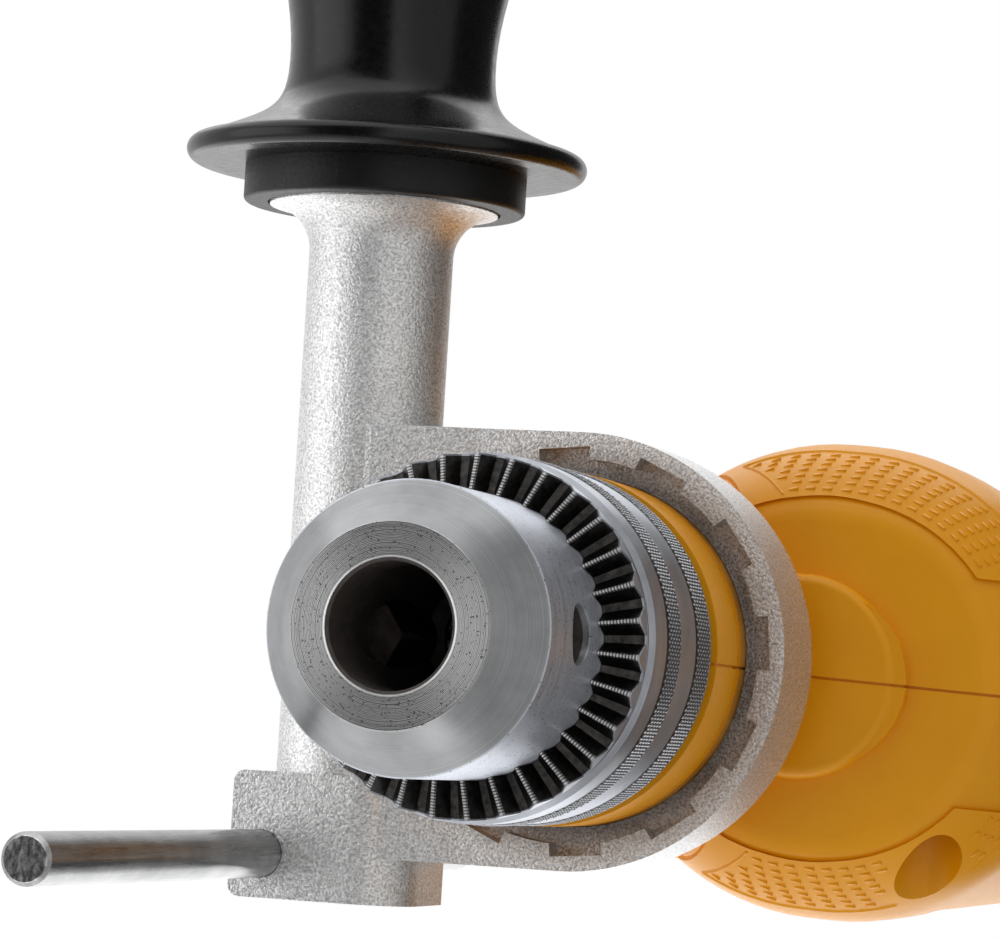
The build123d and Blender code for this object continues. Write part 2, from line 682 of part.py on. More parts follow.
def housing_halves(skin):
    chin = motor_barrel(0) + cheek_pads() - chin_dish()
    boss = rod_x(BOSS_R, MOTOR_FRONT - BOSS_ROOT, MOTOR_FRONT + BOSS_PROUD, z=motor_z)
    boss = fillet(boss.edges().group_by(Axis.X)[-1], BOSS_EDGE)
    shell = chin + boss + motor_tail() + gear_case() + collar() + grip_body(0)
    groove = parting_groove(shell)
    for room in housing_rooms():
        shell = shell - room
    shell = shell + screw_bosses()
    cuts = control_cuts() + screw_cuts() + vent_cuts(*REAR_VENTS) + vent_cuts(*FRONT_VENTS)
    shell = shell - cuts - skin
    left = shell & block(-FAR, FAR, 0, FAR, -FAR, FAR)
    right = shell & block(-FAR, FAR, -FAR, 0, -FAR, FAR)
    return left - groove, right - groove


def housing_screws():
    screws = []
    for x, z, head, reach in SCREWS:
        shank = rod_y(SCREW_R, -head, reach - SCREW_END, x, z)
        cap = rod_y(SCREW_HEAD_R, -head, -head + SCREW_HEAD - FREE, x, z)
        slots = Box(SLOT_W, 2 * SLOT_DEPTH, SLOT_LEN) + Box(SLOT_LEN, 2 * SLOT_DEPTH, SLOT_W)
        drive = Pos(x, -head, z) * slots
        screws.append(shank + cap - drive)
    return Compound(children=screws)


def gear_plate():
    disc = rod_x(gear_room_r - FREE, plate_back, PLATE_FRONT)
    disc = disc + rod_x(stator_r, plate_back, PLATE_FRONT, z=motor_z)
    back, front = plate_back - OVER, PLATE_FRONT + OVER
    disc = disc - rod_x(JOURNAL_R + BUSH_WALL + SEAT, back, front)
    disc = disc - rod_x(BALL_BEARING_R + SEAT, back, front_bearing_back + BALL_BEARING_W, z=motor_z)
    return disc - rod_x(SHAFT_R + SHAFT_ROOM, back, front, z=motor_z)


# Chuck
def jaw_bar(radius, front_x, back_x):
    lean = radians(JAW_ANGLE)
    start = (jaw_cross_x - front_x) / cos(lean)
    end = (jaw_cross_x - back_x) / cos(lean)
    bar = Pos(0, 0, start) * Cylinder(radius, end - start, align=(Align.CENTER, Align.CENTER, Align.MIN))
    return Pos(jaw_cross_x, 0, 0) * Rot(0, -90 + JAW_ANGLE, 0) * bar


def chuck_jaw(theta):
    tail_x = jaw_tip_x - JAW_LEN * cos(radians(JAW_ANGLE))
    bar = jaw_bar(JAW_R, jaw_tip_x + JAW_R, tail_x) & block(-FAR, jaw_tip_x, -FAR, FAR, 0, FAR)
    grip, spread = CHUCK_OPEN / 2, SLEEVE_R
    wide = JAW_EDGE + spread * tan(radians(180 / JAW_COUNT))
    wedge = make_face(Polyline((-JAW_EDGE, grip), (JAW_EDGE, grip), (wide, grip + spread),
                               (-wide, grip + spread), close=True))
    return Rot(theta, 0, 0) * (bar & prism_x(wedge, -FAR, FAR))


def chuck_body():
    cone_x = nose_x - NOSE_CONE
    body = turned_x([
        (chuck_back, 0), (chuck_back, CHUCK_REAR_R - EDGE), (chuck_back + EDGE, CHUCK_REAR_R),
        (nut_back - AXIAL, CHUCK_REAR_R), (nut_back - AXIAL, NUT_GROOVE_R),
        (nut_front + AXIAL, NUT_GROOVE_R), (nut_front + AXIAL, CHUCK_BODY_R), (cone_x, CHUCK_BODY_R),
        (nose_x, NOSE_R), (nose_x, 0),
    ])
    seat = chuck_back + CHUCK_THREAD_LEN + CHUCK_WEB
    floor = seat + CHUCK_SCREW_HEAD + FREE
    seat_r = CHUCK_SCREW_HEAD_R + FREE
    mouth = CHUCK_BORE_R + CHUCK_BORE_CHAMFER
    land = nose_x - CHUCK_BORE_LAND
    relief = CHUCK_BORE_R + CHUCK_BORE_RELIEF
    bore = turned_x([(seat, 0), (seat, seat_r), (floor, seat_r), (floor, relief), (land, relief),
                     (land, CHUCK_BORE_R), (nose_x - CHUCK_BORE_CHAMFER, CHUCK_BORE_R), (nose_x, mouth),
                     (nose_x + OVER, mouth), (nose_x + OVER, 0)])
    body = body - bore
    body = body - rod_x(CHUCK_THREAD_R + SEAT, chuck_back - OVER, chuck_back + CHUCK_THREAD_LEN)
    body = body - rod_x(CHUCK_SCREW_R + FIT, chuck_back, floor)
    body = body - around_x(jaw_bar(JAW_R + FIT, nose_x + OVER, chuck_back - JAW_R), JAW_COUNT, CHUCK_TURN)
    key_x = nose_x - KEY_HOLE_BACK
    key = rod_z(KEY_HOLE_R, CHUCK_BODY_R - KEY_HOLE_DEPTH, CHUCK_BODY_R + OVER, key_x)
    return body - around_x(key, JAW_COUNT, CHUCK_TURN + 180 / JAW_COUNT)


# One gap between crown teeth, wider at its outer end
def tooth_gap(inner_r, outer_r, rim_x):
    pitch = 2 * pi / SLEEVE_TEETH

    def section(radius, top_x):
        wide, narrow = TOOTH_GAP_TOP * pitch * radius, TOOTH_GAP_FLOOR * pitch * radius
        deep = top_x - TOOTH_DEPTH
        over = top_x + OVER
        brim = wide + OVER * (wide - narrow) / TOOTH_DEPTH
        points = [(-brim, over), (-narrow, deep), (narrow, deep), (brim, over)]
        place = Plane(origin=(0, 0, radius), x_dir=(0, 1, 0), z_dir=(0, 0, -1))
        return place * make_face(Polyline(*points, close=True))

    outer_x, extra = rim_x + TOOTH_RISE, OVER * TOOTH_SLOPE / (outer_r - inner_r)
    return loft([section(inner_r - OVER, outer_x + TOOTH_SLOPE + extra),
                 section(outer_r + OVER, outer_x - extra)], ruled=True)


def chuck_sleeve():
    inner = CHUCK_BODY_R + SLEEVE_FIT
    rear = CHUCK_REAR_R + SLEEVE_FIT
    rim_r = SLEEVE_R - SLEEVE_CHAMFER
    crown_r = SLEEVE_R - CROWN_STEP
    crown_x = sleeve_front + TOOTH_RISE
    groove_r = SLEEVE_R - CROWN_GROOVE
    groove_x = sleeve_front + CROWN_GROOVE_W
    sleeve = turned_x([
        (chuck_back, rear), (chuck_back, rim_r), (chuck_back + SLEEVE_CHAMFER, SLEEVE_R),
        (sleeve_front - SLEEVE_CHAMFER, SLEEVE_R), (sleeve_front, rim_r),
        (sleeve_front, groove_r), (groove_x, groove_r), (groove_x, crown_r), (crown_x, crown_r),
        (crown_x + TOOTH_SLOPE, inner), (nut_front + AXIAL, inner), (nut_front + AXIAL, NUT_R),
        (nut_back, NUT_R), (nut_back, rear),
    ])
    return sleeve - around_x(tooth_gap(inner, crown_r, sleeve_front), SLEEVE_TEETH, SLEEVE_TURN)


def chuck_nut():
    reach = JAW_R / cos(radians(JAW_ANGLE)) + AXIAL

    def cone_r(x):
        return (jaw_cross_x - x) * tan(radians(JAW_ANGLE)) + reach

    nut = turned_x([(nut_back, cone_r(nut_back)), (nut_back, NUT_R - SEAT), (nut_front, NUT_R - SEAT),
                    (nut_front, cone_r(nut_front))])
    upper = nut & block(0, FAR, -FAR, FAR, FIT, FAR)
    lower = nut & block(0, FAR, -FAR, FAR, -FAR, -FIT)
    return Compound(children=[upper, lower])


def chuck_screw():
    seat = chuck_back + CHUCK_THREAD_LEN + CHUCK_WEB
    head = rod_x(CHUCK_SCREW_HEAD_R, seat, seat + CHUCK_SCREW_HEAD)
    drive = Pos(seat + CHUCK_SCREW_HEAD, 0, 0) * Box(2 * SLOT_DEPTH, SLOT_W, 2 * CHUCK_SCREW_HEAD_R)
    return head + rod_x(CHUCK_SCREW_R, seat - CHUCK_SCREW_LEN, seat) - drive


# Spindle line
def spindle():
    seat_end, journal = GEAR_FRONT + OVER, gear_back - OVER
    thread = chuck_back + CHUCK_THREAD_LEN
    body = turned_x([
        (thread, 0), (thread, CHUCK_THREAD_R - EDGE), (thread - EDGE, CHUCK_THREAD_R),
        (chuck_back, CHUCK_THREAD_R), (chuck_back, SPINDLE_SHOULDER_R),
        (bearing_front, SPINDLE_SHOULDER_R), (bearing_front, SPINDLE_R - SEAT),
        (seat_end, SPINDLE_R - SEAT), (seat_end, GEAR_SEAT_R - SEAT), (journal, GEAR_SEAT_R - SEAT),
        (journal, JOURNAL_R), (spindle_back + EDGE, JOURNAL_R), (spindle_back, JOURNAL_R - EDGE),
        (spindle_back, 0),
    ])
    return body - rod_x(CHUCK_SCREW_R + SEAT, thread - CHUCK_SCREW_LEN, thread + OVER)


# Sawtooth gaps cut backward from a face of a ratchet
def ratchet_gaps(face_x):
    pitch = 2 * pi * RATCHET_R / RATCHET_TEETH
    tooth = Polyline((-pitch / 2, 0), (pitch / 4, 0), (pitch / 4 - RATCHET_LEAN, RATCHET_TOOTH), close=True)
    plane = Plane(origin=(face_x, 0, 0), x_dir=(0, 1, 0), z_dir=(0, 0, 1))
    gap = extrude(plane * make_face(tooth), amount=SPINDLE_BEARING_R + OVER)
    return around_x(gap, RATCHET_TEETH)


def moving_ratchet():
    step = RATCHET_R - RATCHET_RING
    hub_r, hub_x = SPINDLE_R + RATCHET_HUB_WALL, bearing_back - RATCHET_HUB
    disc = turned_x([
        (bearing_back, SPINDLE_R), (bearing_back, hub_r), (hub_x, hub_r),
        (hub_x, RATCHET_R), (moving_back, RATCHET_R), (moving_back, step),
        (moving_back + MOVING_RATCHET_SINK, step), (moving_back + MOVING_RATCHET_SINK, SPINDLE_R),
    ])
    teeth = [mirror(gap, Plane.YZ.offset(moving_back)) for gap in ratchet_gaps(moving_back)]
    return disc - teeth


def fixed_ratchet():
    step = RATCHET_R - RATCHET_RING
    floor, hole = fixed_front - FIXED_RATCHET_SINK, SPINDLE_R + RATCHET_HOLE
    disc = turned_x([
        (fixed_back, hole), (fixed_back, SPINDLE_BEARING_R), (fixed_front, SPINDLE_BEARING_R),
        (fixed_front, step), (floor, step), (floor, hole),
    ])
    return disc - ratchet_gaps(fixed_front)


def spindle_spring():
    low, high = fixed_front - FIXED_RATCHET_SINK, moving_back + MOVING_RATCHET_SINK
    radius = SPINDLE_R + RATCHET_HOLE + SPRING_WIRE_R + 2 * FREE
    return Pos(low, 0, 0) * Rot(0, 90, 0) * coil(radius, high - low, SPRING_TURNS, SPRING_WIRE_R)


def spindle_gear():
    wheel = prism_x(gear_outline(GEAR_TEETH, -PROFILE_SHIFT, 2, -90), gear_back, GEAR_FRONT)
    return wheel - rod_x(GEAR_SEAT_R, gear_back - OVER, GEAR_FRONT + OVER)


def dust_seal():
    back = -SEAL_BACK
    return ring_x(SPINDLE_BEARING_R, SPINDLE_SHOULDER_R + FREE, back, back + SEAL_W)


def rear_bush():
    return ring_x(JOURNAL_R + BUSH_WALL, JOURNAL_R + FIT, bush_back, bush_front)


# Motor
def armature_shaft():
    half_pitch = 180 / PINION_TEETH
    outline = gear_outline(PINION_TEETH, PROFILE_SHIFT, 4, 90 + half_pitch)
    pinion = prism_x(outline, pinion_back, pinion_front)
    shaft = rod_x(SHAFT_R - SEAT, rear_bearing_back - FREE, pinion_back)
    return Pos(0, 0, motor_z) * (shaft + pinion)


def core_slot(width, depth, x0, x1):
    return block(x0, x1, -width / 2, width / 2, CORE_R - depth, CORE_R + OVER)


def armature_core():
    core = ring_x(CORE_R, SHAFT_R, core_back, CORE_FRONT, motor_z)
    slot = core_slot(CORE_SLOT_W, CORE_SLOT_DEPTH, core_back - OVER, CORE_FRONT + OVER)
    return core - about_motor(slot, CORE_SLOTS)


def armature_windings():
    crown, hub = CORE_R - WINDING_SINK, SHAFT_R + WINDING_HUB
    ends = [ring_x(crown, hub, CORE_FRONT, CORE_FRONT + WINDING_END, motor_z),
            ring_x(crown, hub, core_back - WINDING_END, core_back, motor_z)]
    bar = block(core_back, CORE_FRONT, -CORE_SLOT_W / 2 + AXIAL, CORE_SLOT_W / 2 - AXIAL,
                CORE_R - CORE_SLOT_DEPTH + AXIAL, crown)
    return ends[0] + ends[1] + about_motor(bar, CORE_SLOTS)


def commutator():
    drum = ring_x(COMMUTATOR_R, SHAFT_R, commutator_back, commutator_front, motor_z)
    half, floor = COMMUTATOR_CUT_W / 2, COMMUTATOR_R - COMMUTATOR_CUT
    groove = block(commutator_back - OVER, commutator_front + OVER, -half, half, floor, COMMUTATOR_R + OVER)
    return drum - about_motor(groove, COMMUTATOR_BARS)


def cooling_fan():
    back = fan_front - FAN_W
    hub = ring_x(SHAFT_R + FAN_HUB, SHAFT_R, back, fan_front, motor_z)
    plate = ring_x(FAN_R, SHAFT_R + FAN_HUB / 2, fan_front - FAN_SHEET, fan_front, motor_z)
    half = FAN_SHEET / 2
    blade = block(back, fan_front - half, -half, half, SHAFT_R + FAN_HUB / 2, FAN_R - EDGE)
    return hub + plate + about_motor(blade, FAN_BLADES)


def pole_zone(radius, half_angle, x0, x1):
    wide = radius * sin(radians(half_angle))
    high = radius * cos(radians(half_angle))
    bow = Polyline((0, 0), (-wide, high), (-wide, stator_r), (wide, stator_r), (wide, high), close=True)
    wedge = prism_x(make_face(bow), x0, x1)
    return [Pos(0, 0, motor_z) * wedge, Pos(0, 0, motor_z) * Rot(180, 0, 0) * wedge]


def stator_core():
    bore = CORE_R + AIR_GAP
    yoke = ring_x(stator_r, stator_r - STATOR_WALL, core_back, CORE_FRONT, motor_z)
    poles = ring_x(stator_r - STATOR_WALL + AXIAL, bore, core_back, CORE_FRONT, motor_z)
    upper, lower = pole_zone(bore, POLE_HALF_ANGLE, core_back, CORE_FRONT)
    return yoke + (poles & upper) + (poles & lower)


def field_coils():
    bore = CORE_R + AIR_GAP
    back, front = core_back - COIL_END, CORE_FRONT + COIL_END
    loop = ring_x(stator_r - STATOR_WALL - FREE, bore + FREE, back, front, motor_z)
    zones = pole_zone(bore, POLE_HALF_ANGLE + COIL_ANGLE, core_back - FREE, CORE_FRONT + FREE)
    loop = loop - zones
    upper = loop & block(-FAR, 0, -FAR, FAR, motor_z + FREE, FAR)
    lower = loop & block(-FAR, 0, -FAR, FAR, -FAR, motor_z - FREE)
    return Compound(children=[upper, lower])


# Brush gear on both sides of the commutator
def both_sides(shape):
    return Compound(children=[shape, mirror(shape, Plane.XZ)])


# Outer end of the brush holders, against the wall of the motor room
def holder_out():
    return sqrt(motor_room_r ** 2 - (BRUSH_H / 2 + HOLDER_WALL) ** 2) - AXIAL


def brush_holders():
    half_x, half_z = BRUSH_W / 2 + HOLDER_WALL, BRUSH_H / 2 + HOLDER_WALL
    out, near = holder_out(), COMMUTATOR_R + HOLDER_GAP
    box = block(brush_x - half_x, brush_x + half_x, near, out, motor_z - half_z, motor_z + half_z)
    bore_x, bore_z = BRUSH_W / 2 + AXIAL, BRUSH_H / 2 + AXIAL
    bore = block(brush_x - bore_x, brush_x + bore_x, 0, out - HOLDER_WALL,
                 motor_z - bore_z, motor_z + bore_z)
    return both_sides(box - bore)


def carbon_brushes():
    start = COMMUTATOR_R + FIT
    return both_sides(block(brush_x - BRUSH_W / 2, brush_x + BRUSH_W / 2, start, start + BRUSH_LEN,
                            motor_z - BRUSH_H / 2, motor_z + BRUSH_H / 2))


def brush_springs():
    low = COMMUTATOR_R + FIT + BRUSH_LEN
    length = holder_out() - HOLDER_WALL - low
    spring = coil(BRUSH_SPRING_R, length, BRUSH_SPRING_TURNS, BRUSH_SPRING_WIRE)
    return both_sides(Pos(brush_x, low, motor_z) * Rot(-90, 0, 0) * spring)


# Controls
def trigger():
    top, low = (TRIGGER_FRONT, TRIGGER_TOP), (TRIGGER_FRONT + TRIGGER_TOE, TRIGGER_LOW)
    front = ThreePointArc(top, (TRIGGER_FRONT - TRIGGER_DISH, trigger_mid), low)
    rest = Polyline(low, (TRIGGER_BACK, TRIGGER_LOW), (TRIGGER_BACK, TRIGGER_TOP), top)
    body = prism_y(make_face([front, rest]), -TRIGGER_HALF_W, TRIGGER_HALF_W)
    fronts = body.faces().sort_by(Axis.X)[-1].edges().filter_by(GeomType.CIRCLE)
    body = fillet(fronts, TRIGGER_ROUND)
    return body - rod_x(TRIGGER_SPRING_R + TRIGGER_SPRING_WIRE + FREE, TRIGGER_BACK - OVER,
                        TRIGGER_BACK + TRIGGER_SPRING_POCKET, z=trigger_mid)


def trigger_spring():
    length = TRIGGER_BACK + TRIGGER_SPRING_POCKET - switch_front
    spring = coil(TRIGGER_SPRING_R, length, TRIGGER_SPRING_TURNS, TRIGGER_SPRING_WIRE)
    return Pos(switch_front, 0, trigger_mid) * Rot(0, 90, 0) * spring


def switch_body():
    box = block(switch_front - SWITCH_LEN, switch_front, -SWITCH_HALF_W, SWITCH_HALF_W,
                TRIGGER_LOW - SWITCH_RISE, TRIGGER_TOP + SWITCH_RISE)
    return fillet(box.edges().filter_by(Axis.Z), SWITCH_ROUND)


def reverse_lever():
    low = LEVER_TOP - LEVER_H
    hub = rod_z(LEVER_HUB_R, low, LEVER_TOP, LEVER_PIVOT)
    arm = block(LEVER_PIVOT, LEVER_TIP - LEVER_HALF_W, -LEVER_HALF_W, LEVER_HALF_W, low, LEVER_TOP)
    return hub + arm + rod_z(LEVER_HALF_W, low, LEVER_TOP, LEVER_TIP - LEVER_HALF_W)


def lock_button():
    button = rod_y(LOCK_R, LOCK_OUT - LOCK_LEN, LOCK_OUT, LOCK_X, LOCK_Z)
    return fillet(button.edges().group_by(Axis.Y)[-1], SOFT_EDGE)


def mode_selector():
    middle = -SELECTOR_TRAVEL / 2
    half = SELECTOR_LEN / 2
    knob = block(SELECTOR_X - half, SELECTOR_X + half, middle - SELECTOR_HALF_W, middle + SELECTOR_HALF_W,
                 SELECTOR_FLOOR + FREE, SELECTOR_TOP)
    knob = fillet(knob.edges().group_by(Axis.Z)[-1], SOFT_EDGE)
    floor, top, cut = SELECTOR_TOP - SELECTOR_CUT, SELECTOR_TOP + OVER, SELECTOR_CUT / 2
    grooves = [block(SELECTOR_X - half - OVER, SELECTOR_X + half + OVER, y - cut, y + cut, floor, top)
               for y in (middle - SELECTOR_PITCH, middle, middle + SELECTOR_PITCH)]
    return knob - grooves


def cord_gland():
    tube = rod_z(GLAND_R, grip_low - GLAND_PROUD, grip_cavity_low + GLAND_FLANGE, gland_x)
    flange = rod_z(GLAND_FLANGE_R, grip_cavity_low, grip_cavity_low + GLAND_FLANGE, gland_x)
    return tube + flange - rod_z(CORD_BORE_R, -FAR, 0, gland_x)


# Side handle, built pointing along +Y and then swivelled about the collar
def swivelled(shape):
    return Rot(HANDLE_ANGLE, 0, 0) * shape


def turned_on_post(outline):
    place = Plane(origin=(clamp_mid, 0, POST_OFFSET), x_dir=(0, 1, 0), z_dir=(1, 0, 0))
    return revolve(place * outline, Axis((clamp_mid, 0, POST_OFFSET), (0, 1, 0)))


def clamp_casting():
    ring = rod_x(CLAMP_R, clamp_back, CLAMP_FRONT)
    ramp_x = CLAMP_FRONT + PLATE_RAMP
    sheet = make_face(Polyline((clamp_back, 0), (CLAMP_FRONT, 0), (CLAMP_FRONT, PLATE_RAMP_START),
                               (ramp_x, PLATE_RAMP_END), (ramp_x, POST_OFFSET), (clamp_back, POST_OFFSET),
                               close=True))
    plate = prism_y(sheet, -CLAMP_R, CLAMP_R)
    neck = POST_TOP - POST_FLARE
    brim = (POST_TOP - POST_RIM, POST_FLARE_R)
    bend = (neck + POST_BEND, POST_R + POST_BEND_OUT)
    flare = ThreePointArc((neck, POST_R), bend, brim)
    rim = Polyline(brim, (POST_TOP, POST_FLARE_R), (POST_TOP, 0), (FOOT_LOW, 0), (FOOT_LOW, POST_R),
                   (neck, POST_R))
    post = turned_on_post(make_face([flare, rim]))
    foot = block(clamp_back, CLAMP_FRONT + FOOT_PROUD, FOOT_LOW, FOOT_TOP, FOOT_NEAR, FOOT_FAR)
    corner = foot.edges().filter_by(Axis.Y).group_by(Axis.X)[-1].sort_by(Axis.Z)[0]
    foot = fillet(corner, FOOT_ROUND)
    foot = fillet(foot.edges().filter_by(Axis.X).group_by(Axis.Z)[-1], FOOT_EDGE)
    return ring + plate + post + foot


def clamp_recess():
    floor = CLAMP_FRONT - CLAMP_RECESS
    land = rod_x(CLAMP_RECESS_R, floor, casting_front)
    reach = CLAMP_RECESS_R + CLAMP_NOTCH
    half = reach * sin(radians(90 / CLAMP_NOTCHES))
    notch = make_face(Polyline((-half, 0), (half, 0), (half, reach), (-half, reach), close=True))
    return [land] + around_x(prism_x(notch, floor, casting_front), CLAMP_NOTCHES, CLAMP_NOTCH_TURN)


def handle_clamp():
    body = clamp_casting()
    body = body - clamp_recess() - rod_x(COLLAR_R + CLAMP_FIT, clamp_back - OVER, casting_front)
    body = body - block(-FAR, FAR, -CLAMP_SLIT / 2, CLAMP_SLIT / 2, 0, FOOT_FAR + OVER)
    body = body - rod_y(STUD_R + FIT, STUD_LOW - EDGE, POST_TOP + OVER, clamp_mid, POST_OFFSET)
    body = body - rod_x(ROD_R + FIT, clamp_back - OVER, casting_front, ROD_Y, ROD_Z)
    return swivelled(body)


def handle_ring():
    ring = rod_y(RING_R, POST_TOP - RING_SKIRT, flange_low, clamp_mid, POST_OFFSET)
    ring = fillet(ring.edges().group_by(Axis.Y)[0], RING_SKIRT)
    ring = ring - rod_y(POST_FLARE_R + FREE, POST_TOP - OVER, POST_TOP, clamp_mid, POST_OFFSET)
    hole = rod_y(STUD_R + SEAT, POST_TOP - OVER, flange_low + OVER, clamp_mid, POST_OFFSET)
    return swivelled(ring - hole)


def handle_grip():
    low, top = flange_low, flange_low + GRIP_LEN
    heel = (low + FLANGE_HEEL_AT, FLANGE_R - FLANGE_HEEL)
    brow = (low + FLANGE_BROW_AT, FLANGE_R - FLANGE_BROW)
    lip = ThreePointArc(heel, (low + FLANGE_EDGE, FLANGE_R), brow)
    swell = [(low + at, GRIP_NECK_R + out) for at, out in GRIP_SWELL]
    side = Spline(brow, *swell, (low + GRIP_NECK_AT, GRIP_NECK_R), (low + GRIP_BELLY_AT, GRIP_BELLY_R),
                  (low + GRIP_WAIST_AT, GRIP_WAIST_R), (top - GRIP_CAP, GRIP_END_R))
    bend = (top - GRIP_CAP_BEND_AT, GRIP_END_R - GRIP_CAP_BEND)
    cap = ThreePointArc((top - GRIP_CAP, GRIP_END_R), bend, (top, GRIP_CAP_R))
    base = Polyline((top, GRIP_CAP_R), (top, 0), (low, 0), (low, FLANGE_R - FLANGE_TOE), heel)
    body = turned_on_post(make_face([lip, side, cap, base]))
    return swivelled(body - rod_y(STUD_R + SEAT, low - OVER, STUD_TOP + EDGE, clamp_mid, POST_OFFSET))


def handle_stud():
    return swivelled(rod_y(STUD_R, STUD_LOW, STUD_TOP, clamp_mid, POST_OFFSET))


def depth_rod():
    back = ROD_FRONT - ROD_LEN
    rod = turned_x([(back, 0), (back, ROD_R - EDGE), (back + EDGE, ROD_R), (ROD_FRONT - EDGE, ROD_R),
                    (ROD_FRONT, ROD_R - EDGE), (ROD_FRONT, 0)])
    return swivelled(Pos(0, ROD_Y, ROD_Z) * rod)


def main():
    nodes = {}
    nodes["grip_overmould"] = overmould_skin()
    nodes["left_housing"], nodes["right_housing"] = housing_halves(nodes["grip_overmould"])
    nodes["housing_screws"] = housing_screws()
    nodes["gear_plate"] = gear_plate()
    bearings = {
        "spindle_bearing": (SPINDLE_BEARING_R, SPINDLE_R, bearing_back, bearing_front, 0.0),
        "armature_front_bearing": (BALL_BEARING_R, SHAFT_R, front_bearing_back,
                                   front_bearing_back + BALL_BEARING_W, motor_z),
        "armature_rear_bearing": (BALL_BEARING_R, SHAFT_R, rear_bearing_back, rear_bearing_front, motor_z),
    }
    for name, sizes in bearings.items():
        outer, inner, balls = bearing(*sizes)
        nodes[name + "_outer_ring"] = outer
        nodes[name + "_inner_ring"] = inner
        nodes[name + "_balls"] = balls
    for i in range(JAW_COUNT):
        nodes[f"chuck_jaw_{i + 1}"] = chuck_jaw(CHUCK_TURN + 360 * i / JAW_COUNT)
    makers = (
        chuck_body, chuck_sleeve, chuck_nut, chuck_screw, spindle, spindle_gear, moving_ratchet,
        fixed_ratchet, spindle_spring, dust_seal, rear_bush, armature_shaft, armature_core,
        armature_windings, commutator, cooling_fan, stator_core, field_coils, brush_holders,
        carbon_brushes, brush_springs, trigger, trigger_spring, switch_body, reverse_lever,
        lock_button, mode_selector, cord_gland, handle_clamp, handle_ring, handle_grip, handle_stud,
        depth_rod,
    )
    for maker in makers:
        nodes[maker.__name__] = maker()
    os.makedirs("parts", exist_ok=True)
    for name, shape in nodes.items():
        export_step(shape, f"parts/{name}.step")


main()
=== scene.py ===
import json
from math import cos, pi, sin, sqrt

import bmesh
import bpy
from mathutils import Matrix, Vector


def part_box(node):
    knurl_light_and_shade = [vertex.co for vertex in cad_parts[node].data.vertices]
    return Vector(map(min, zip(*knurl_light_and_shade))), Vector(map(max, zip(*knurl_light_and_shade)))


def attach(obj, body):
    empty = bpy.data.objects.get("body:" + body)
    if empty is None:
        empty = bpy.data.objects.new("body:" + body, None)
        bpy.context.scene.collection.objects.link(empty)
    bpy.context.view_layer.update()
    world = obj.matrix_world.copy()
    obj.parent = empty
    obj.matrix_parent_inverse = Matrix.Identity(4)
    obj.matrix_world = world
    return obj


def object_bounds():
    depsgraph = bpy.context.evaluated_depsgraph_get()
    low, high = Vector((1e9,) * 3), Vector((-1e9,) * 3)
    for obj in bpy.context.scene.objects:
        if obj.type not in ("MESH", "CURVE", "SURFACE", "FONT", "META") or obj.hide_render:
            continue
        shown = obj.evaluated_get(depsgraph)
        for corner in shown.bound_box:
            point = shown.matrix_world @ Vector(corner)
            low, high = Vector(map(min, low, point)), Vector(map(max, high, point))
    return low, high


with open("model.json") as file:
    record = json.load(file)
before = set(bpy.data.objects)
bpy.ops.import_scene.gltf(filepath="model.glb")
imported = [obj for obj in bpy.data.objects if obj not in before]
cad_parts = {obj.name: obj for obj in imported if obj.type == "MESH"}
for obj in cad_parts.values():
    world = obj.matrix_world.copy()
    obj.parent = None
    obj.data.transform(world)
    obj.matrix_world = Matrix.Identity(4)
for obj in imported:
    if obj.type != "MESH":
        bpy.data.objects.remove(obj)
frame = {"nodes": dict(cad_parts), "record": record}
cad_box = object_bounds()

# Camera: place and axes in the frame of the part, in metres, and its focal length in image widths
CAMERA_PLACE = Vector((0.46655, -0.00500, -0.14012))
CAMERA_RIGHT = Vector((-0.2955, 0.1039, -0.9497))
CAMERA_UP = Vector((0.0817, 0.9932, 0.0832))
FOCAL_WIDTHS = 4.04674
SENSOR_MM = 36.0
CLIP_START = 0.01

# Studio: what lamps and flags face, the floor's colours and its share of bounced light, where its white
# begins and is full, the level of the world's light, and the flags' mottle and the place of the rear one
STUDIO_TARGET = Vector((0.0, 0.0, -0.01))
FLOOR_GAP = 0.0005
FLOOR_SIZE = 6.0
FLOOR_COLOURS = ((0.86, 0.86, 0.855), (0.89, 0.89, 0.885))
FLOOR_MOTTLE = 40.0
FLOOR_BOUNCE = 0.55
FLOOR_NEAR = 0.25
FLOOR_FAR = 0.60
AMBIENT = 0.38
FLAG_MOTTLE = 5.0
FLAG_UNEVEN = 0.2
REAR_FLAG_PLACE = (-0.45, 0.0, cad_box[0][2] + FLOOR_GAP)

# Ends and radius of the chuck sleeve, and the front ends of the chuck body and the depth rod
SLEEVE_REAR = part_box("chuck_sleeve")[0].x
SLEEVE_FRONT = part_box("chuck_sleeve")[1].x
SLEEVE_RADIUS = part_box("chuck_sleeve")[1].z
CHUCK_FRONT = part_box("chuck_body")[1].x
ROD_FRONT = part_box("depth_rod")[1].x

# Knurled bands of the chuck sleeve, in metres along the spindle
KNURL_BANDS = ((SLEEVE_REAR + 0.0011, SLEEVE_REAR + 0.0078), (SLEEVE_REAR + 0.0147, SLEEVE_REAR + 0.0209))
KNURL_COUNT = 150
KNURL_STEP = 0.00118
KNURL_LOW = SLEEVE_RADIUS - 0.00008
KNURL_HIGH = SLEEVE_RADIUS + 0.00022

# Crown of the sleeve: where its gaps, painted dark as shade, begin along the spindle, their outer radius,
# and the height of the crests as place along the spindle plus a share of the radius
CROWN_START = SLEEVE_FRONT - 0.0044
CROWN_RADIUS = SLEEVE_RADIUS - 0.0006
CREST_SHARE = 0.36
CREST_HEIGHT = SLEEVE_FRONT + 0.0056
# Period of the light and dark dashes painted along the crests as glints
CREST_DASH = 0.00034
# Groove before the crown, painted near-black as shade
GROOVE_START = SLEEVE_FRONT - 0.0058
GROOVE_RADIUS = SLEEVE_RADIUS - 0.0007

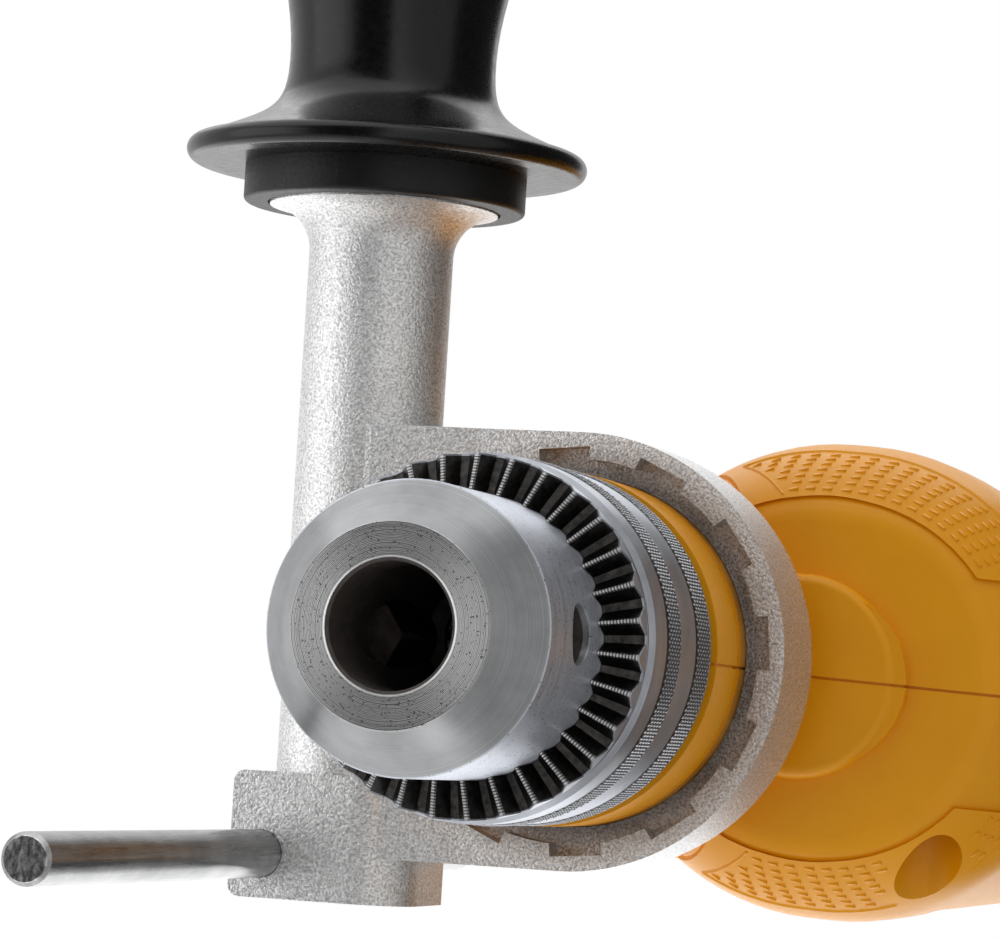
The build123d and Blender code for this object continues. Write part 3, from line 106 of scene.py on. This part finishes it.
# Studded cheek pads of the housing: their surface and the edges of their zone, in metres
PAD_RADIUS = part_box("left_housing")[1].y
PAD_NOSE_ROUND = 0.02045
PAD_NOSE_X = -0.0530
PAD_MIDDLE_Z = -0.0253
PAD_STRAIGHT = 0.0013
PAD_ARC_RADIUS = 0.028
PAD_MARGIN = 0.0011
PAD_PART = 0.0145
SCREW_PLACE = (-0.0415, -0.0411)
SCREW_CLEAR = 0.0056

# Studs in rows out from the dish, at angles round the nose, and in columns round the body
STUD_ROWS = 7
STUD_FIRST = 0.73
STUD_STEP = 0.064
STUD_PITCH = 0.00255
STUD_SLANT = 0.0003
STUD_COLUMNS = 14
STUD_WIDE = 0.00062
STUD_LONG = 0.00045
STUD_LEAN = 0.00025
STUD_HEIGHTS = (0.00028, 0.00008)
STUD_SINK = 0.0001

# Fine bead round the studs: its angle towards the side, and its slanted upper end round the body
BEAD_TILTS = (0.69, 1.18)
BEAD_TOP = (0.0080, 0.0142)
BEAD_LOW = -0.0400
BEAD_STEPS = 60
BEAD_WIDE = 0.00035
BEAD_HEIGHT = 0.00018

# Zones of the metal finishes, of their painted shade and of their painted highlight, as radii about the
# spindle and places along it
# Radii over which the painted shade inside the clamping ring fades out
RING_SHADE_RADII = (0.0222, 0.0266)
ROD_END = ROD_FRONT - 0.0001
BORE_RADIUS = 0.00735
BORE_GLINT_RADIUS = 0.00757
# Outer radius of the near-white band painted round the mouth of the bore as a highlight
CHUCK_BODY_RADIUS = 0.0161
CHUCK_HOLLOW_RADIUS = 0.0154
CONE_START = CHUCK_FRONT - 0.0064
NOSE_FACE = CHUCK_FRONT - 0.0002

# Lathe marks: their spacing, and the stretch and turn of the highlights across them
LATHE_FEED = 0.00017
LATHE_STRETCH = 0.8
LATHE_TURN = 0.25

# Colour sockets of the mix node
MIX_FACTOR = 0
MIX_LOW = 6
MIX_HIGH = 7
MIX_RESULT = 2

JAW_NODES = ("chuck_jaw_1", "chuck_jaw_2", "chuck_jaw_3")


# Shader helpers
def principled(material):
    return material.node_tree.nodes["Principled BSDF"]


def new_material(name, metallic, roughness, shine=0.5):
    material = bpy.data.materials.new(name)
    material.use_nodes = True
    shader = principled(material)
    shader.inputs["Metallic"].default_value = metallic
    shader.inputs["Roughness"].default_value = roughness
    shader.inputs["Specular IOR Level"].default_value = shine
    return material


def add_node(material, kind, **values):
    node = material.node_tree.nodes.new(kind)
    for name, value in values.items():
        if name in node.inputs:
            node.inputs[name].default_value = value
        else:
            setattr(node, name, value)
    return node


def link(material, start, end):
    material.node_tree.links.new(start, end)


def feed(material, socket, value):
    if isinstance(value, bpy.types.NodeSocket):
        link(material, value, socket)
    elif isinstance(value, tuple):
        socket.default_value = (*value, 1.0)
    else:
        socket.default_value = value


def place(material):
    return add_node(material, "ShaderNodeTexCoord").outputs["Object"]


def split(material, vector):
    node = add_node(material, "ShaderNodeSeparateXYZ")
    link(material, vector, node.inputs["Vector"])
    return node.outputs


def calc(material, operation, first, second=0.0):
    node = add_node(material, "ShaderNodeMath", operation=operation)
    feed(material, node.inputs[0], first)
    feed(material, node.inputs[1], second)
    return node.outputs["Value"]


def mean(material, first, second):
    return calc(material, "MULTIPLY", calc(material, "ADD", first, second), 0.5)


# One where a value lies between two limits, and nothing elsewhere
def between(material, value, low, high):
    return calc(material, "MULTIPLY", calc(material, "GREATER_THAN", value, low),
                calc(material, "LESS_THAN", value, high))


# Sine wave of a period along a value, from nothing to one
def wave(material, value, period):
    swing = calc(material, "SINE", calc(material, "MULTIPLY", value, 2 * pi / period))
    return mean(material, swing, 1.0)


def noise(material, scale, detail=3.0, vector=None):
    node = add_node(material, "ShaderNodeTexNoise", Scale=scale, Detail=detail, Roughness=0.6)
    link(material, vector or place(material), node.inputs["Vector"])
    return node.outputs["Fac"]


def stretched(material, x, y, z):
    node = add_node(material, "ShaderNodeMapping", Scale=(x, y, z))
    link(material, place(material), node.inputs["Vector"])
    return node.outputs["Vector"]


def ramp(material, factor, low, high, start=0.3, end=0.7):
    node = add_node(material, "ShaderNodeValToRGB")
    node.color_ramp.elements[0].position = start
    node.color_ramp.elements[1].position = end
    node.color_ramp.elements[0].color = (*low, 1.0)
    node.color_ramp.elements[1].color = (*high, 1.0)
    link(material, factor, node.inputs["Fac"])
    return node.outputs["Color"]


def mixed(material, factor, low, high):
    node = add_node(material, "ShaderNodeMix", data_type="RGBA")
    link(material, factor, node.inputs[MIX_FACTOR])
    feed(material, node.inputs[MIX_LOW], low)
    feed(material, node.inputs[MIX_HIGH], high)
    return node.outputs[MIX_RESULT]


def spread(material, factor, low, high, start=0.3, end=0.7):
    limits = {"From Min": start, "From Max": end, "To Min": low, "To Max": high}
    node = add_node(material, "ShaderNodeMapRange", **limits)
    link(material, factor, node.inputs["Value"])
    return node.outputs["Result"]


def paint(material, colour=None, roughness=None, height=None, distance=0.0001, strength=1.0):
    shader = principled(material)
    if colour is not None:
        link(material, colour, shader.inputs["Base Color"])
    if roughness is not None:
        link(material, roughness, shader.inputs["Roughness"])
    if height is not None:
        bump = add_node(material, "ShaderNodeBump", Strength=strength, Distance=distance)
        link(material, height, bump.inputs["Height"])
        link(material, bump.outputs["Normal"], shader.inputs["Normal"])
    return material


# Radius about the X axis
def axis_radius(material):
    at = split(material, place(material))
    across = add_node(material, "ShaderNodeCombineXYZ")
    link(material, at["Y"], across.inputs["X"])
    link(material, at["Z"], across.inputs["Y"])
    length = add_node(material, "ShaderNodeVectorMath", operation="LENGTH")
    link(material, across.outputs["Vector"], length.inputs[0])
    return length.outputs["Value"]


# Radius about the X axis and place along it, which a lathe's marks follow
def lathe_vector(material):
    both = add_node(material, "ShaderNodeCombineXYZ")
    link(material, axis_radius(material), both.inputs["X"])
    link(material, split(material, place(material))["X"], both.inputs["Y"])
    return both.outputs["Vector"]


# Finish with broad patches between two colours and a fine grain
def speckled(name, metallic, low, high, rough, scale, grain, depth, shine=0.5):
    material = new_material(name, metallic, sum(rough) / 2, shine)
    patches = noise(material, scale)
    fine = noise(material, grain, detail=2.0)
    colour = ramp(material, patches, low, high)
    return paint(material, colour, spread(material, fine, *rough), height=fine, distance=depth)


def grey(value, blue=1.0):
    return (value, value, value * blue)


# Materials by slot
def yellow_plastic():
    return speckled("yellow_plastic", metallic=0.0, low=(0.81, 0.330, 0.001), high=(0.87, 0.362, 0.002),
                    rough=(0.34, 0.44), scale=60.0, grain=1500.0, depth=0.00002, shine=0.3)


def black_rubber():
    return speckled("black_rubber", metallic=0.0, low=grey(0.012), high=grey(0.020), rough=(0.65, 0.80),
                    scale=80.0, grain=1800.0, depth=0.00005, shine=0.2)


def control_plastic():
    return speckled("control_plastic", metallic=0.0, low=grey(0.004), high=grey(0.008),
                    rough=(0.40, 0.52), scale=90.0, grain=2200.0, depth=0.00004, shine=0.25)


def handle_plastic():
    return speckled("handle_plastic", metallic=0.0, low=grey(0.002, blue=1.1), high=grey(0.004, blue=1.1),
                    rough=(0.22, 0.30), scale=50.0, grain=900.0, depth=0.00001, shine=0.26)


# Sand-cast alloy: pale grains with darker pits between them, and painted shade inside the clamping ring,
# darker towards its inner edge
def cast_metal():
    material = new_material("cast_metal", metallic=0.9, roughness=0.5)
    grain = noise(material, scale=3200.0, detail=2.0)
    coarse = noise(material, scale=1700.0, detail=2.0)
    alloy = ramp(material, grain, low=grey(0.43), high=grey(0.80), start=0.34, end=0.60)
    # Painted shade: a darker copy of the alloy near the inner edge of the clamping ring
    shaded_alloy = ramp(material, grain, low=grey(0.14), high=grey(0.34), start=0.34, end=0.60)
    unshaded = spread(material, axis_radius(material), 0.0, 1.0, *RING_SHADE_RADII)
    rough = spread(material, coarse, low=0.40, high=0.56)
    height = calc(material, "ADD", grain, coarse)
    return paint(material, mixed(material, unshaded, shaded_alloy, alloy), rough, height, distance=0.00010)


# Zinc-plated steel with drawn streaks along its length and a sawn end
def zinc_steel():
    material = new_material("zinc_steel", metallic=1.0, roughness=0.28)
    drawn = stretched(material, x=40.0, y=1400.0, z=1400.0)
    streaks = noise(material, scale=1.0, vector=drawn)
    cuts = stretched(material, x=900.0, y=900.0, z=1900.0)
    sawn = noise(material, scale=1.0, detail=2.0, vector=cuts)
    end = calc(material, "GREATER_THAN", split(material, place(material))["X"], ROD_END)
    worn = mean(material, streaks, noise(material, scale=160.0))
    side = ramp(material, worn, low=(0.17, 0.174, 0.177), high=(0.32, 0.324, 0.32), start=0.38, end=0.62)
    tip = ramp(material, sawn, low=grey(0.12), high=grey(0.46), start=0.36, end=0.66)
    rough = spread(material, streaks, low=0.20, high=0.36)
    colour = mixed(material, end, side, tip)
    return paint(material, colour, rough, height=sawn, distance=0.00003, strength=0.4)


# Lathe marks along the turned outline, at a feed that grows along nose, cone and cylinder alike
def lathe_rings(material, period):
    along = calc(material, "SUBTRACT", split(material, place(material))["X"], axis_radius(material))
    uneven = noise(material, scale=1.0 / period, detail=1.0, vector=lathe_vector(material))
    waver = calc(material, "MULTIPLY", uneven, period)
    return wave(material, calc(material, "ADD", along, waver), period)


# Metal turned about the X axis: its material, its marks, and its colour and roughness between them
def turned_look(name, low, high, rough):
    material = new_material(name, metallic=1.0, roughness=sum(rough) / 2)
    shader = principled(material)
    shader.inputs["Anisotropic"].default_value = LATHE_STRETCH
    shader.inputs["Anisotropic Rotation"].default_value = LATHE_TURN
    tangent = add_node(material, "ShaderNodeTangent", direction_type="RADIAL", axis="X")
    link(material, tangent.outputs["Tangent"], shader.inputs["Tangent"])
    marks = lathe_rings(material, LATHE_FEED)
    scratches = noise(material, scale=9000.0, detail=1.0, vector=lathe_vector(material))
    uneven = mean(material, scratches, noise(material, scale=140.0))
    colour = ramp(material, uneven, low, high, start=0.36, end=0.64)
    return material, marks, colour, spread(material, scratches, *rough)


def pits(material, scale, share):
    return calc(material, "GREATER_THAN", noise(material, scale, detail=1.0), share)


# Inside of the bore and of the key holes
def chuck_hollows(material, along, radius):
    key_holes = calc(material, "MULTIPLY", calc(material, "LESS_THAN", radius, CHUCK_HOLLOW_RADIUS),
                     calc(material, "LESS_THAN", along, CONE_START))
    return calc(material, "MAXIMUM", key_holes, calc(material, "LESS_THAN", radius, BORE_RADIUS))


# Chuck body: bright pitted cylinder, greyer cone, ringed nose with a painted highlight round the bore,
# and a bore and key holes painted dark with grime and painted shade
def turned_steel():
    material, marks, colour, rough = turned_look("turned_steel", low=(0.22, 0.225, 0.23),
                                                 high=(0.36, 0.37, 0.38), rough=(0.32, 0.48))
    along = split(material, place(material))["X"]
    radius = axis_radius(material)
    outside = calc(material, "GREATER_THAN", radius, CHUCK_BODY_RADIUS)
    spots = pits(material, scale=2600.0, share=0.68)
    colour = mixed(material, outside, colour, mixed(material, spots, (0.48, 0.50, 0.55), grey(0.06)))
    rings = ramp(material, marks, low=grey(0.26), high=grey(0.50), start=0.2, end=0.8)
    rings = mixed(material, pits(material, scale=3600.0, share=0.67), rings, grey(0.10))
    # Painted highlight: a near-white band round the mouth of the bore
    rings = mixed(material, calc(material, "LESS_THAN", radius, BORE_GLINT_RADIUS), rings, grey(0.9))
    nose = calc(material, "GREATER_THAN", along, NOSE_FACE)
    colour = mixed(material, nose, colour, rings)
    hollow = chuck_hollows(material, along, radius)
    # Grime and painted shade: dark brown and unmetallic inside the bore and key holes
    smears = noise(material, scale=700.0)
    grime_and_shade = ramp(material, smears, low=(0.020, 0.016, 0.014), high=(0.060, 0.046, 0.040))
    link(material, calc(material, "SUBTRACT", 1.0, hollow), principled(material).inputs["Metallic"])
    depth = spread(material, nose, low=0.6, high=1.0, start=0.0, end=1.0)
    height = calc(material, "MULTIPLY", marks, depth)
    return paint(material, mixed(material, hollow, colour, grime_and_shade), rough, height, distance=0.000016)


# Sleeve: turned bands, knurl with painted shade between its points and painted highlight on them, crown
# with painted shade in its gaps and painted glints dashed along its crests, and a groove painted
# near-black as shade
def sleeve_steel():
    material, marks, colour, rough = turned_look("sleeve_steel", low=(0.32, 0.332, 0.36),
                                                 high=(0.49, 0.51, 0.555), rough=(0.28, 0.44))
    along = split(material, place(material))["X"]
    radius = axis_radius(material)
    # Painted shade and highlight: the knurl darkens towards its roots and pales towards its points
    rise = spread(material, radius, 0.0, 1.0, start=SLEEVE_RADIUS, end=KNURL_HIGH)
    knurl_light_and_shade = mixed(material, rise, grey(0.04), (0.66, 0.68, 0.72))
    for start, end in KNURL_BANDS:
        colour = mixed(material, between(material, along, start, end), colour, knurl_light_and_shade)
    crown = calc(material, "MULTIPLY", calc(material, "GREATER_THAN", along, CROWN_START),
                 calc(material, "LESS_THAN", radius, CROWN_RADIUS))
    height = calc(material, "ADD", along, calc(material, "MULTIPLY", radius, CREST_SHARE))
    gap = calc(material, "LESS_THAN", height, CREST_HEIGHT)
    # Painted glints: light and dark dashes along the crests
    crest_glints = mixed(material, wave(material, radius, CREST_DASH), grey(0.06), grey(0.66))
    # Painted shade: the gaps between the crown's teeth are near-black
    gap_shade = ramp(material, noise(material, scale=1400.0), low=grey(0.02), high=(0.08, 0.074, 0.069))
    colour = mixed(material, crown, colour, mixed(material, gap, crest_glints, gap_shade))
    groove = calc(material, "MULTIPLY", between(material, along, GROOVE_START, CROWN_START),
                  calc(material, "LESS_THAN", radius, GROOVE_RADIUS))
    # Painted shade: the groove before the crown is near-black
    colour = mixed(material, groove, colour, grey(0.01))
    return paint(material, colour, rough, height=marks, distance=0.00002)


# Jaws: hardened steel under old grease
def jaw_steel():
    return speckled("jaw_steel", metallic=0.5, low=(0.10, 0.078, 0.066), high=(0.20, 0.16, 0.14),
                    rough=(0.30, 0.45), scale=400.0, grain=2000.0, depth=0.00002)


def ground_steel():
    return speckled("ground_steel", metallic=1.0, low=grey(0.16), high=grey(0.26), rough=(0.25, 0.38),
                    scale=300.0, grain=2400.0, depth=0.00001)


def spring_steel():
    return speckled("spring_steel", metallic=1.0, low=grey(0.30), high=grey(0.42), rough=(0.25, 0.35),
                    scale=500.0, grain=2400.0, depth=0.00001)


# Stacked sheets
def core_steel():
    material = new_material("core_steel", metallic=1.0, roughness=0.5)
    sheets = noise(material, scale=1600.0, detail=0.0, vector=lathe_vector(material))
    colour = ramp(material, sheets, low=grey(0.16), high=grey(0.28))
    return paint(material, colour, height=sheets, distance=0.0001)


def copper():
    return speckled("copper", metallic=1.0, low=(0.55, 0.24, 0.09), high=(0.72, 0.36, 0.16),
                    rough=(0.25, 0.40), scale=700.0, grain=1600.0, depth=0.00008)


def bronze():
    return speckled("bronze", metallic=1.0, low=(0.50, 0.33, 0.12), high=(0.66, 0.46, 0.20),
                    rough=(0.32, 0.45), scale=500.0, grain=2000.0, depth=0.00003)


def carbon():
    return speckled("carbon", metallic=0.0, low=grey(0.015), high=grey(0.035), rough=(0.5, 0.7),
                    scale=600.0, grain=2600.0, depth=0.00004)


SLOT_MATERIALS = {
    "housing_yellow": yellow_plastic, "soft_black": black_rubber, "control_black": control_plastic,
    "handle_black": handle_plastic, "cast_alloy": cast_metal, "zinc_steel": zinc_steel,
    "chuck_steel": turned_steel, "hard_steel": ground_steel, "spring_steel": spring_steel,
    "core_steel": core_steel, "copper": copper, "bronze": bronze, "carbon": carbon,
}


def dress(obj, material):
    obj.data.materials.clear()
    obj.data.materials.append(material)


def dress_nodes():
    made = {slot: maker() for slot, maker in SLOT_MATERIALS.items()}
    for part in frame["record"]["subparts"]:
        dress(frame["nodes"][part["node"]], made[part["material_slot"]])
    made["sleeve"] = sleeve_steel()
    dress(frame["nodes"]["chuck_sleeve"], made["sleeve"])
    greased = jaw_steel()
    for name in JAW_NODES:
        dress(frame["nodes"][name], greased)
    return made


# New piece that rides on a body
def add_piece(name, mesh, body, material):
    bmesh.ops.recalc_face_normals(mesh, faces=mesh.faces)
    data = bpy.data.meshes.new(name)
    mesh.to_mesh(data)
    mesh.free()
    obj = bpy.data.objects.new(name, data)
    bpy.context.scene.collection.objects.link(obj)
    dress(obj, material)
    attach(obj, body)


# Surface details as small closed pyramids
def pyramids(mesh, shapes):
    for corners, apex in shapes:
        base = [mesh.verts.new(corner) for corner in corners]
        top = mesh.verts.new(apex)
        mesh.faces.new(base)
        for first, second in zip(base, base[1:] + base[:1]):
            mesh.faces.new((second, first, top))


# Closed ridge through triangular sections
def ridge(mesh, sections):
    rings = [[mesh.verts.new(corner) for corner in section] for section in sections]
    for ring, following in zip(rings, rings[1:]):
        for i in range(len(ring)):
            j = (i + 1) % len(ring)
            mesh.faces.new((ring[i], ring[j], following[j], following[i]))
    mesh.faces.new(rings[0])
    mesh.faces.new(reversed(rings[-1]))


def about_x(x, radius, turn):
    return (x, radius * sin(turn), radius * cos(turn))


# Knurl: staggered rows of diamonds round the sleeve
def knurl_shapes(start, end):
    half_turn, half_step = pi / KNURL_COUNT, KNURL_STEP / 2
    shapes = []
    for row in range(int((end - start) / half_step) - 1):
        x = start + half_step * (row + 1)
        for i in range(KNURL_COUNT):
            turn = 2 * half_turn * (i + 0.5 * (row % 2))
            low, high = turn - half_turn, turn + half_turn
            ends = ((x - half_step, turn), (x, high), (x + half_step, turn), (x, low))
            shapes.append(([about_x(at, KNURL_LOW, a) for at, a in ends], about_x(x, KNURL_HIGH, turn)))
    return shapes


def add_knurls(material):
    for number, band in enumerate(KNURL_BANDS, start=1):
        mesh = bmesh.new()
        pyramids(mesh, knurl_shapes(*band))
        add_piece(f"sleeve_knurl_{number}", mesh, "sleeve", material)


# Point and outward normal on a cheek pad, at an angle round its nose and a length round the body
def pad_point(tilt, arc, side):
    radius = PAD_RADIUS - PAD_NOSE_ROUND * (1 - sin(tilt))
    straight = max(-PAD_STRAIGHT, min(PAD_STRAIGHT, arc))
    turn = (arc - straight) / PAD_ARC_RADIUS
    ahead = PAD_NOSE_X + PAD_NOSE_ROUND * cos(tilt)
    point = Vector((ahead, side * radius * cos(turn), PAD_MIDDLE_Z + straight + radius * sin(turn)))
    return point, Vector((cos(tilt), side * sin(tilt) * cos(turn), sin(tilt) * sin(turn)))


# Upper end of the studs, which slants with the angle round the nose
def pad_end(tilt):
    share = (tilt - BEAD_TILTS[0]) / (BEAD_TILTS[1] - BEAD_TILTS[0])
    return BEAD_TOP[0] + share * (BEAD_TOP[1] - BEAD_TOP[0])


def clear_of_edges(point):
    x, y, z = point
    if z < PAD_MIDDLE_Z and abs(y) < PAD_PART + PAD_MARGIN:
        return False
    screw = sqrt((x - SCREW_PLACE[0]) ** 2 + (z - SCREW_PLACE[1]) ** 2)
    return y > 0 or screw > SCREW_CLEAR


# Triangular section across a line on a pad, of a half width and height, with its top shifted across
def pad_section(point, normal, across, wide, high, lean=0.0):
    low, reach = point - normal * STUD_SINK, across * wide
    return (low + reach, point + normal * high + across * lean, low - reach)


# Small wedges, each between two sections
def stud_wedges(side):
    wedges = []
    for column in range(-STUD_COLUMNS, STUD_COLUMNS):
        for row in range(STUD_ROWS):
            tilt = STUD_FIRST + STUD_STEP * row
            arc = STUD_PITCH * (column + 0.5) - STUD_SLANT * row
            point, normal = pad_point(tilt, arc, side)
            if arc < pad_end(tilt) - PAD_MARGIN and clear_of_edges(point):
                around = normal.cross(Vector((1, 0, 0))).normalized()
                along = around.cross(normal)
                wide = around * (STUD_WIDE * side)
                ends = zip((point + wide, point - wide), STUD_HEIGHTS)
                wedges.append([pad_section(end, normal, along, STUD_LONG, high, STUD_LEAN)
                               for end, high in ends])
    return wedges


# Bead down the slanted end and along the side, as runs of sections parted where an edge is near
def bead_runs(side):
    first, last = BEAD_TILTS
    tilts = [first + (last - first) * i / BEAD_STEPS for i in range(BEAD_STEPS)]
    arcs = [BEAD_TOP[1] + (BEAD_LOW - BEAD_TOP[1]) * i / BEAD_STEPS for i in range(BEAD_STEPS)]
    path = [(tilt, pad_end(tilt)) for tilt in tilts] + [(last, arc) for arc in arcs]
    spots = [pad_point(tilt, arc, side) for tilt, arc in path]
    runs = [[]]
    for i, (point, normal) in enumerate(spots):
        if clear_of_edges(point):
            onward = spots[min(i + 1, len(spots) - 1)][0] - spots[max(i - 1, 0)][0]
            across = onward.cross(normal).normalized()
            runs[-1].append(pad_section(point, normal, across, BEAD_WIDE, BEAD_HEIGHT))
        elif runs[-1]:
            runs.append([])
    return [run for run in runs if len(run) > 1]


def add_studs(material):
    for name, side in (("left_pad_studs", 1), ("right_pad_studs", -1)):
        mesh = bmesh.new()
        for sections in (*stud_wedges(side), *bead_runs(side)):
            ridge(mesh, sections)
        add_piece(name, mesh, "housing", material)


# One for the camera's, mirrored and refracted rays, which see the white studio
def studio_rays(tree):
    path = tree.nodes.new("ShaderNodeLightPath")
    seen = path.outputs["Is Camera Ray"]
    for kind in ("Is Glossy Ray", "Is Transmission Ray"):
        either = tree.nodes.new("ShaderNodeMath")
        either.operation = "MAXIMUM"
        tree.links.new(seen, either.inputs[0])
        tree.links.new(path.outputs[kind], either.inputs[1])
        seen = either.outputs["Value"]
    return seen


def pale_floor():
    bpy.ops.mesh.primitive_plane_add(size=FLOOR_SIZE, location=(0, 0, cad_box[0][2] - FLOOR_GAP))
    floor = bpy.context.object
    floor.name = "floor"
    material = new_material("floor_paper", metallic=0.0, roughness=0.8, shine=0.0)
    pale = ramp(material, noise(material, FLOOR_MOTTLE), *FLOOR_COLOURS)
    seen = studio_rays(material.node_tree)
    paint(material, mixed(material, seen, grey(FLOOR_BOUNCE), pale))
    away = add_node(material, "ShaderNodeVectorMath", operation="LENGTH")
    link(material, place(material), away.inputs[0])
    glow = spread(material, away.outputs["Value"], 0.0, 1.0, FLOOR_NEAR, FLOOR_FAR)
    shader = principled(material)
    shader.inputs["Emission Color"].default_value = (1.0, 1.0, 1.0, 1.0)
    link(material, calc(material, "MULTIPLY", seen, glow), shader.inputs["Emission Strength"])
    dress(floor, material)


def white_world():
    world = bpy.data.worlds.new("studio")
    bpy.context.scene.world = world
    world.use_nodes = True
    tree = world.node_tree
    ground = tree.nodes["Background"]
    ground.inputs["Color"].default_value = (1.0, 1.0, 1.0, 1.0)
    strength = tree.nodes.new("ShaderNodeMapRange")
    strength.inputs["To Min"].default_value = AMBIENT
    strength.inputs["To Max"].default_value = 1.0
    tree.links.new(studio_rays(tree), strength.inputs["Value"])
    tree.links.new(strength.outputs["Result"], ground.inputs["Strength"])


# Place given in metres along the camera's right, up and backward axes, and a turn that faces the chuck
def facing_place(right, up, toward):
    back = CAMERA_RIGHT.cross(CAMERA_UP)
    spot = STUDIO_TARGET + CAMERA_RIGHT * right + CAMERA_UP * up + back * toward
    return spot, (STUDIO_TARGET - spot).to_track_quat("-Z", "Y").to_euler()


def lamp(name, right, up, toward, size, power, mirrored=True):
    data = bpy.data.lights.new(name, "AREA")
    data.size = size
    data.energy = power
    obj = bpy.data.objects.new(name, data)
    bpy.context.scene.collection.objects.link(obj)
    obj.location, obj.rotation_euler = facing_place(right, up, toward)
    obj.visible_glossy = mirrored


# Dark panel that metal and black plastic mirror, out of the camera's sight
def flag(name, location, rotation, wide, tall, shade):
    bpy.ops.mesh.primitive_plane_add(size=1, location=location, rotation=rotation)
    panel = bpy.context.object
    panel.name = name
    panel.scale = (wide, tall, 1)
    panel.visible_camera = False
    panel.visible_diffuse = False
    panel.visible_shadow = False
    material = new_material(name, metallic=0.0, roughness=0.9, shine=0.0)
    low, high = grey(shade * (1 - FLAG_UNEVEN)), grey(shade * (1 + FLAG_UNEVEN))
    paint(material, ramp(material, noise(material, FLAG_MOTTLE), low, high))
    dress(panel, material)


def photo_camera():
    data = bpy.data.cameras.new("photo_camera")
    data.sensor_fit = "HORIZONTAL"
    data.sensor_width = SENSOR_MM
    data.lens = FOCAL_WIDTHS * SENSOR_MM
    data.clip_start = CLIP_START
    obj = bpy.data.objects.new("photo_camera", data)
    bpy.context.scene.collection.objects.link(obj)
    right = CAMERA_RIGHT.normalized()
    back = right.cross(CAMERA_UP).normalized()
    up = back.cross(right)
    axes = Matrix((right, up, back)).transposed().to_4x4()
    obj.matrix_world = Matrix.Translation(CAMERA_PLACE) @ axes
    bpy.context.scene.camera = obj


bpy.context.scene.view_settings.view_transform = "Standard"
materials = dress_nodes()
add_knurls(materials["sleeve"])
add_studs(materials["housing_yellow"])
pale_floor()
white_world()
lamp("left", right=-0.75, up=0.05, toward=0.22, size=0.75, power=2.2)
lamp("top", right=0.0, up=0.65, toward=-0.15, size=1.50, power=7.8)
lamp("low", right=0.0, up=-0.65, toward=-0.30, size=1.60, power=7.6)
lamp("fill", right=-0.20, up=-0.25, toward=0.60, size=0.60, power=0.42, mirrored=False)
flag("front_flag", *facing_place(right=0.17, up=0.0, toward=0.70), wide=2.10, tall=4.0, shade=0.03)
flag("corner_flag", *facing_place(right=0.28, up=0.36, toward=0.05), wide=0.12, tall=0.8, shade=0.03)
flag("rear_flag", REAR_FLAG_PLACE, rotation=(0.0, 0.0, 0.0), wide=0.9, tall=0.9, shade=0.10)
photo_camera()
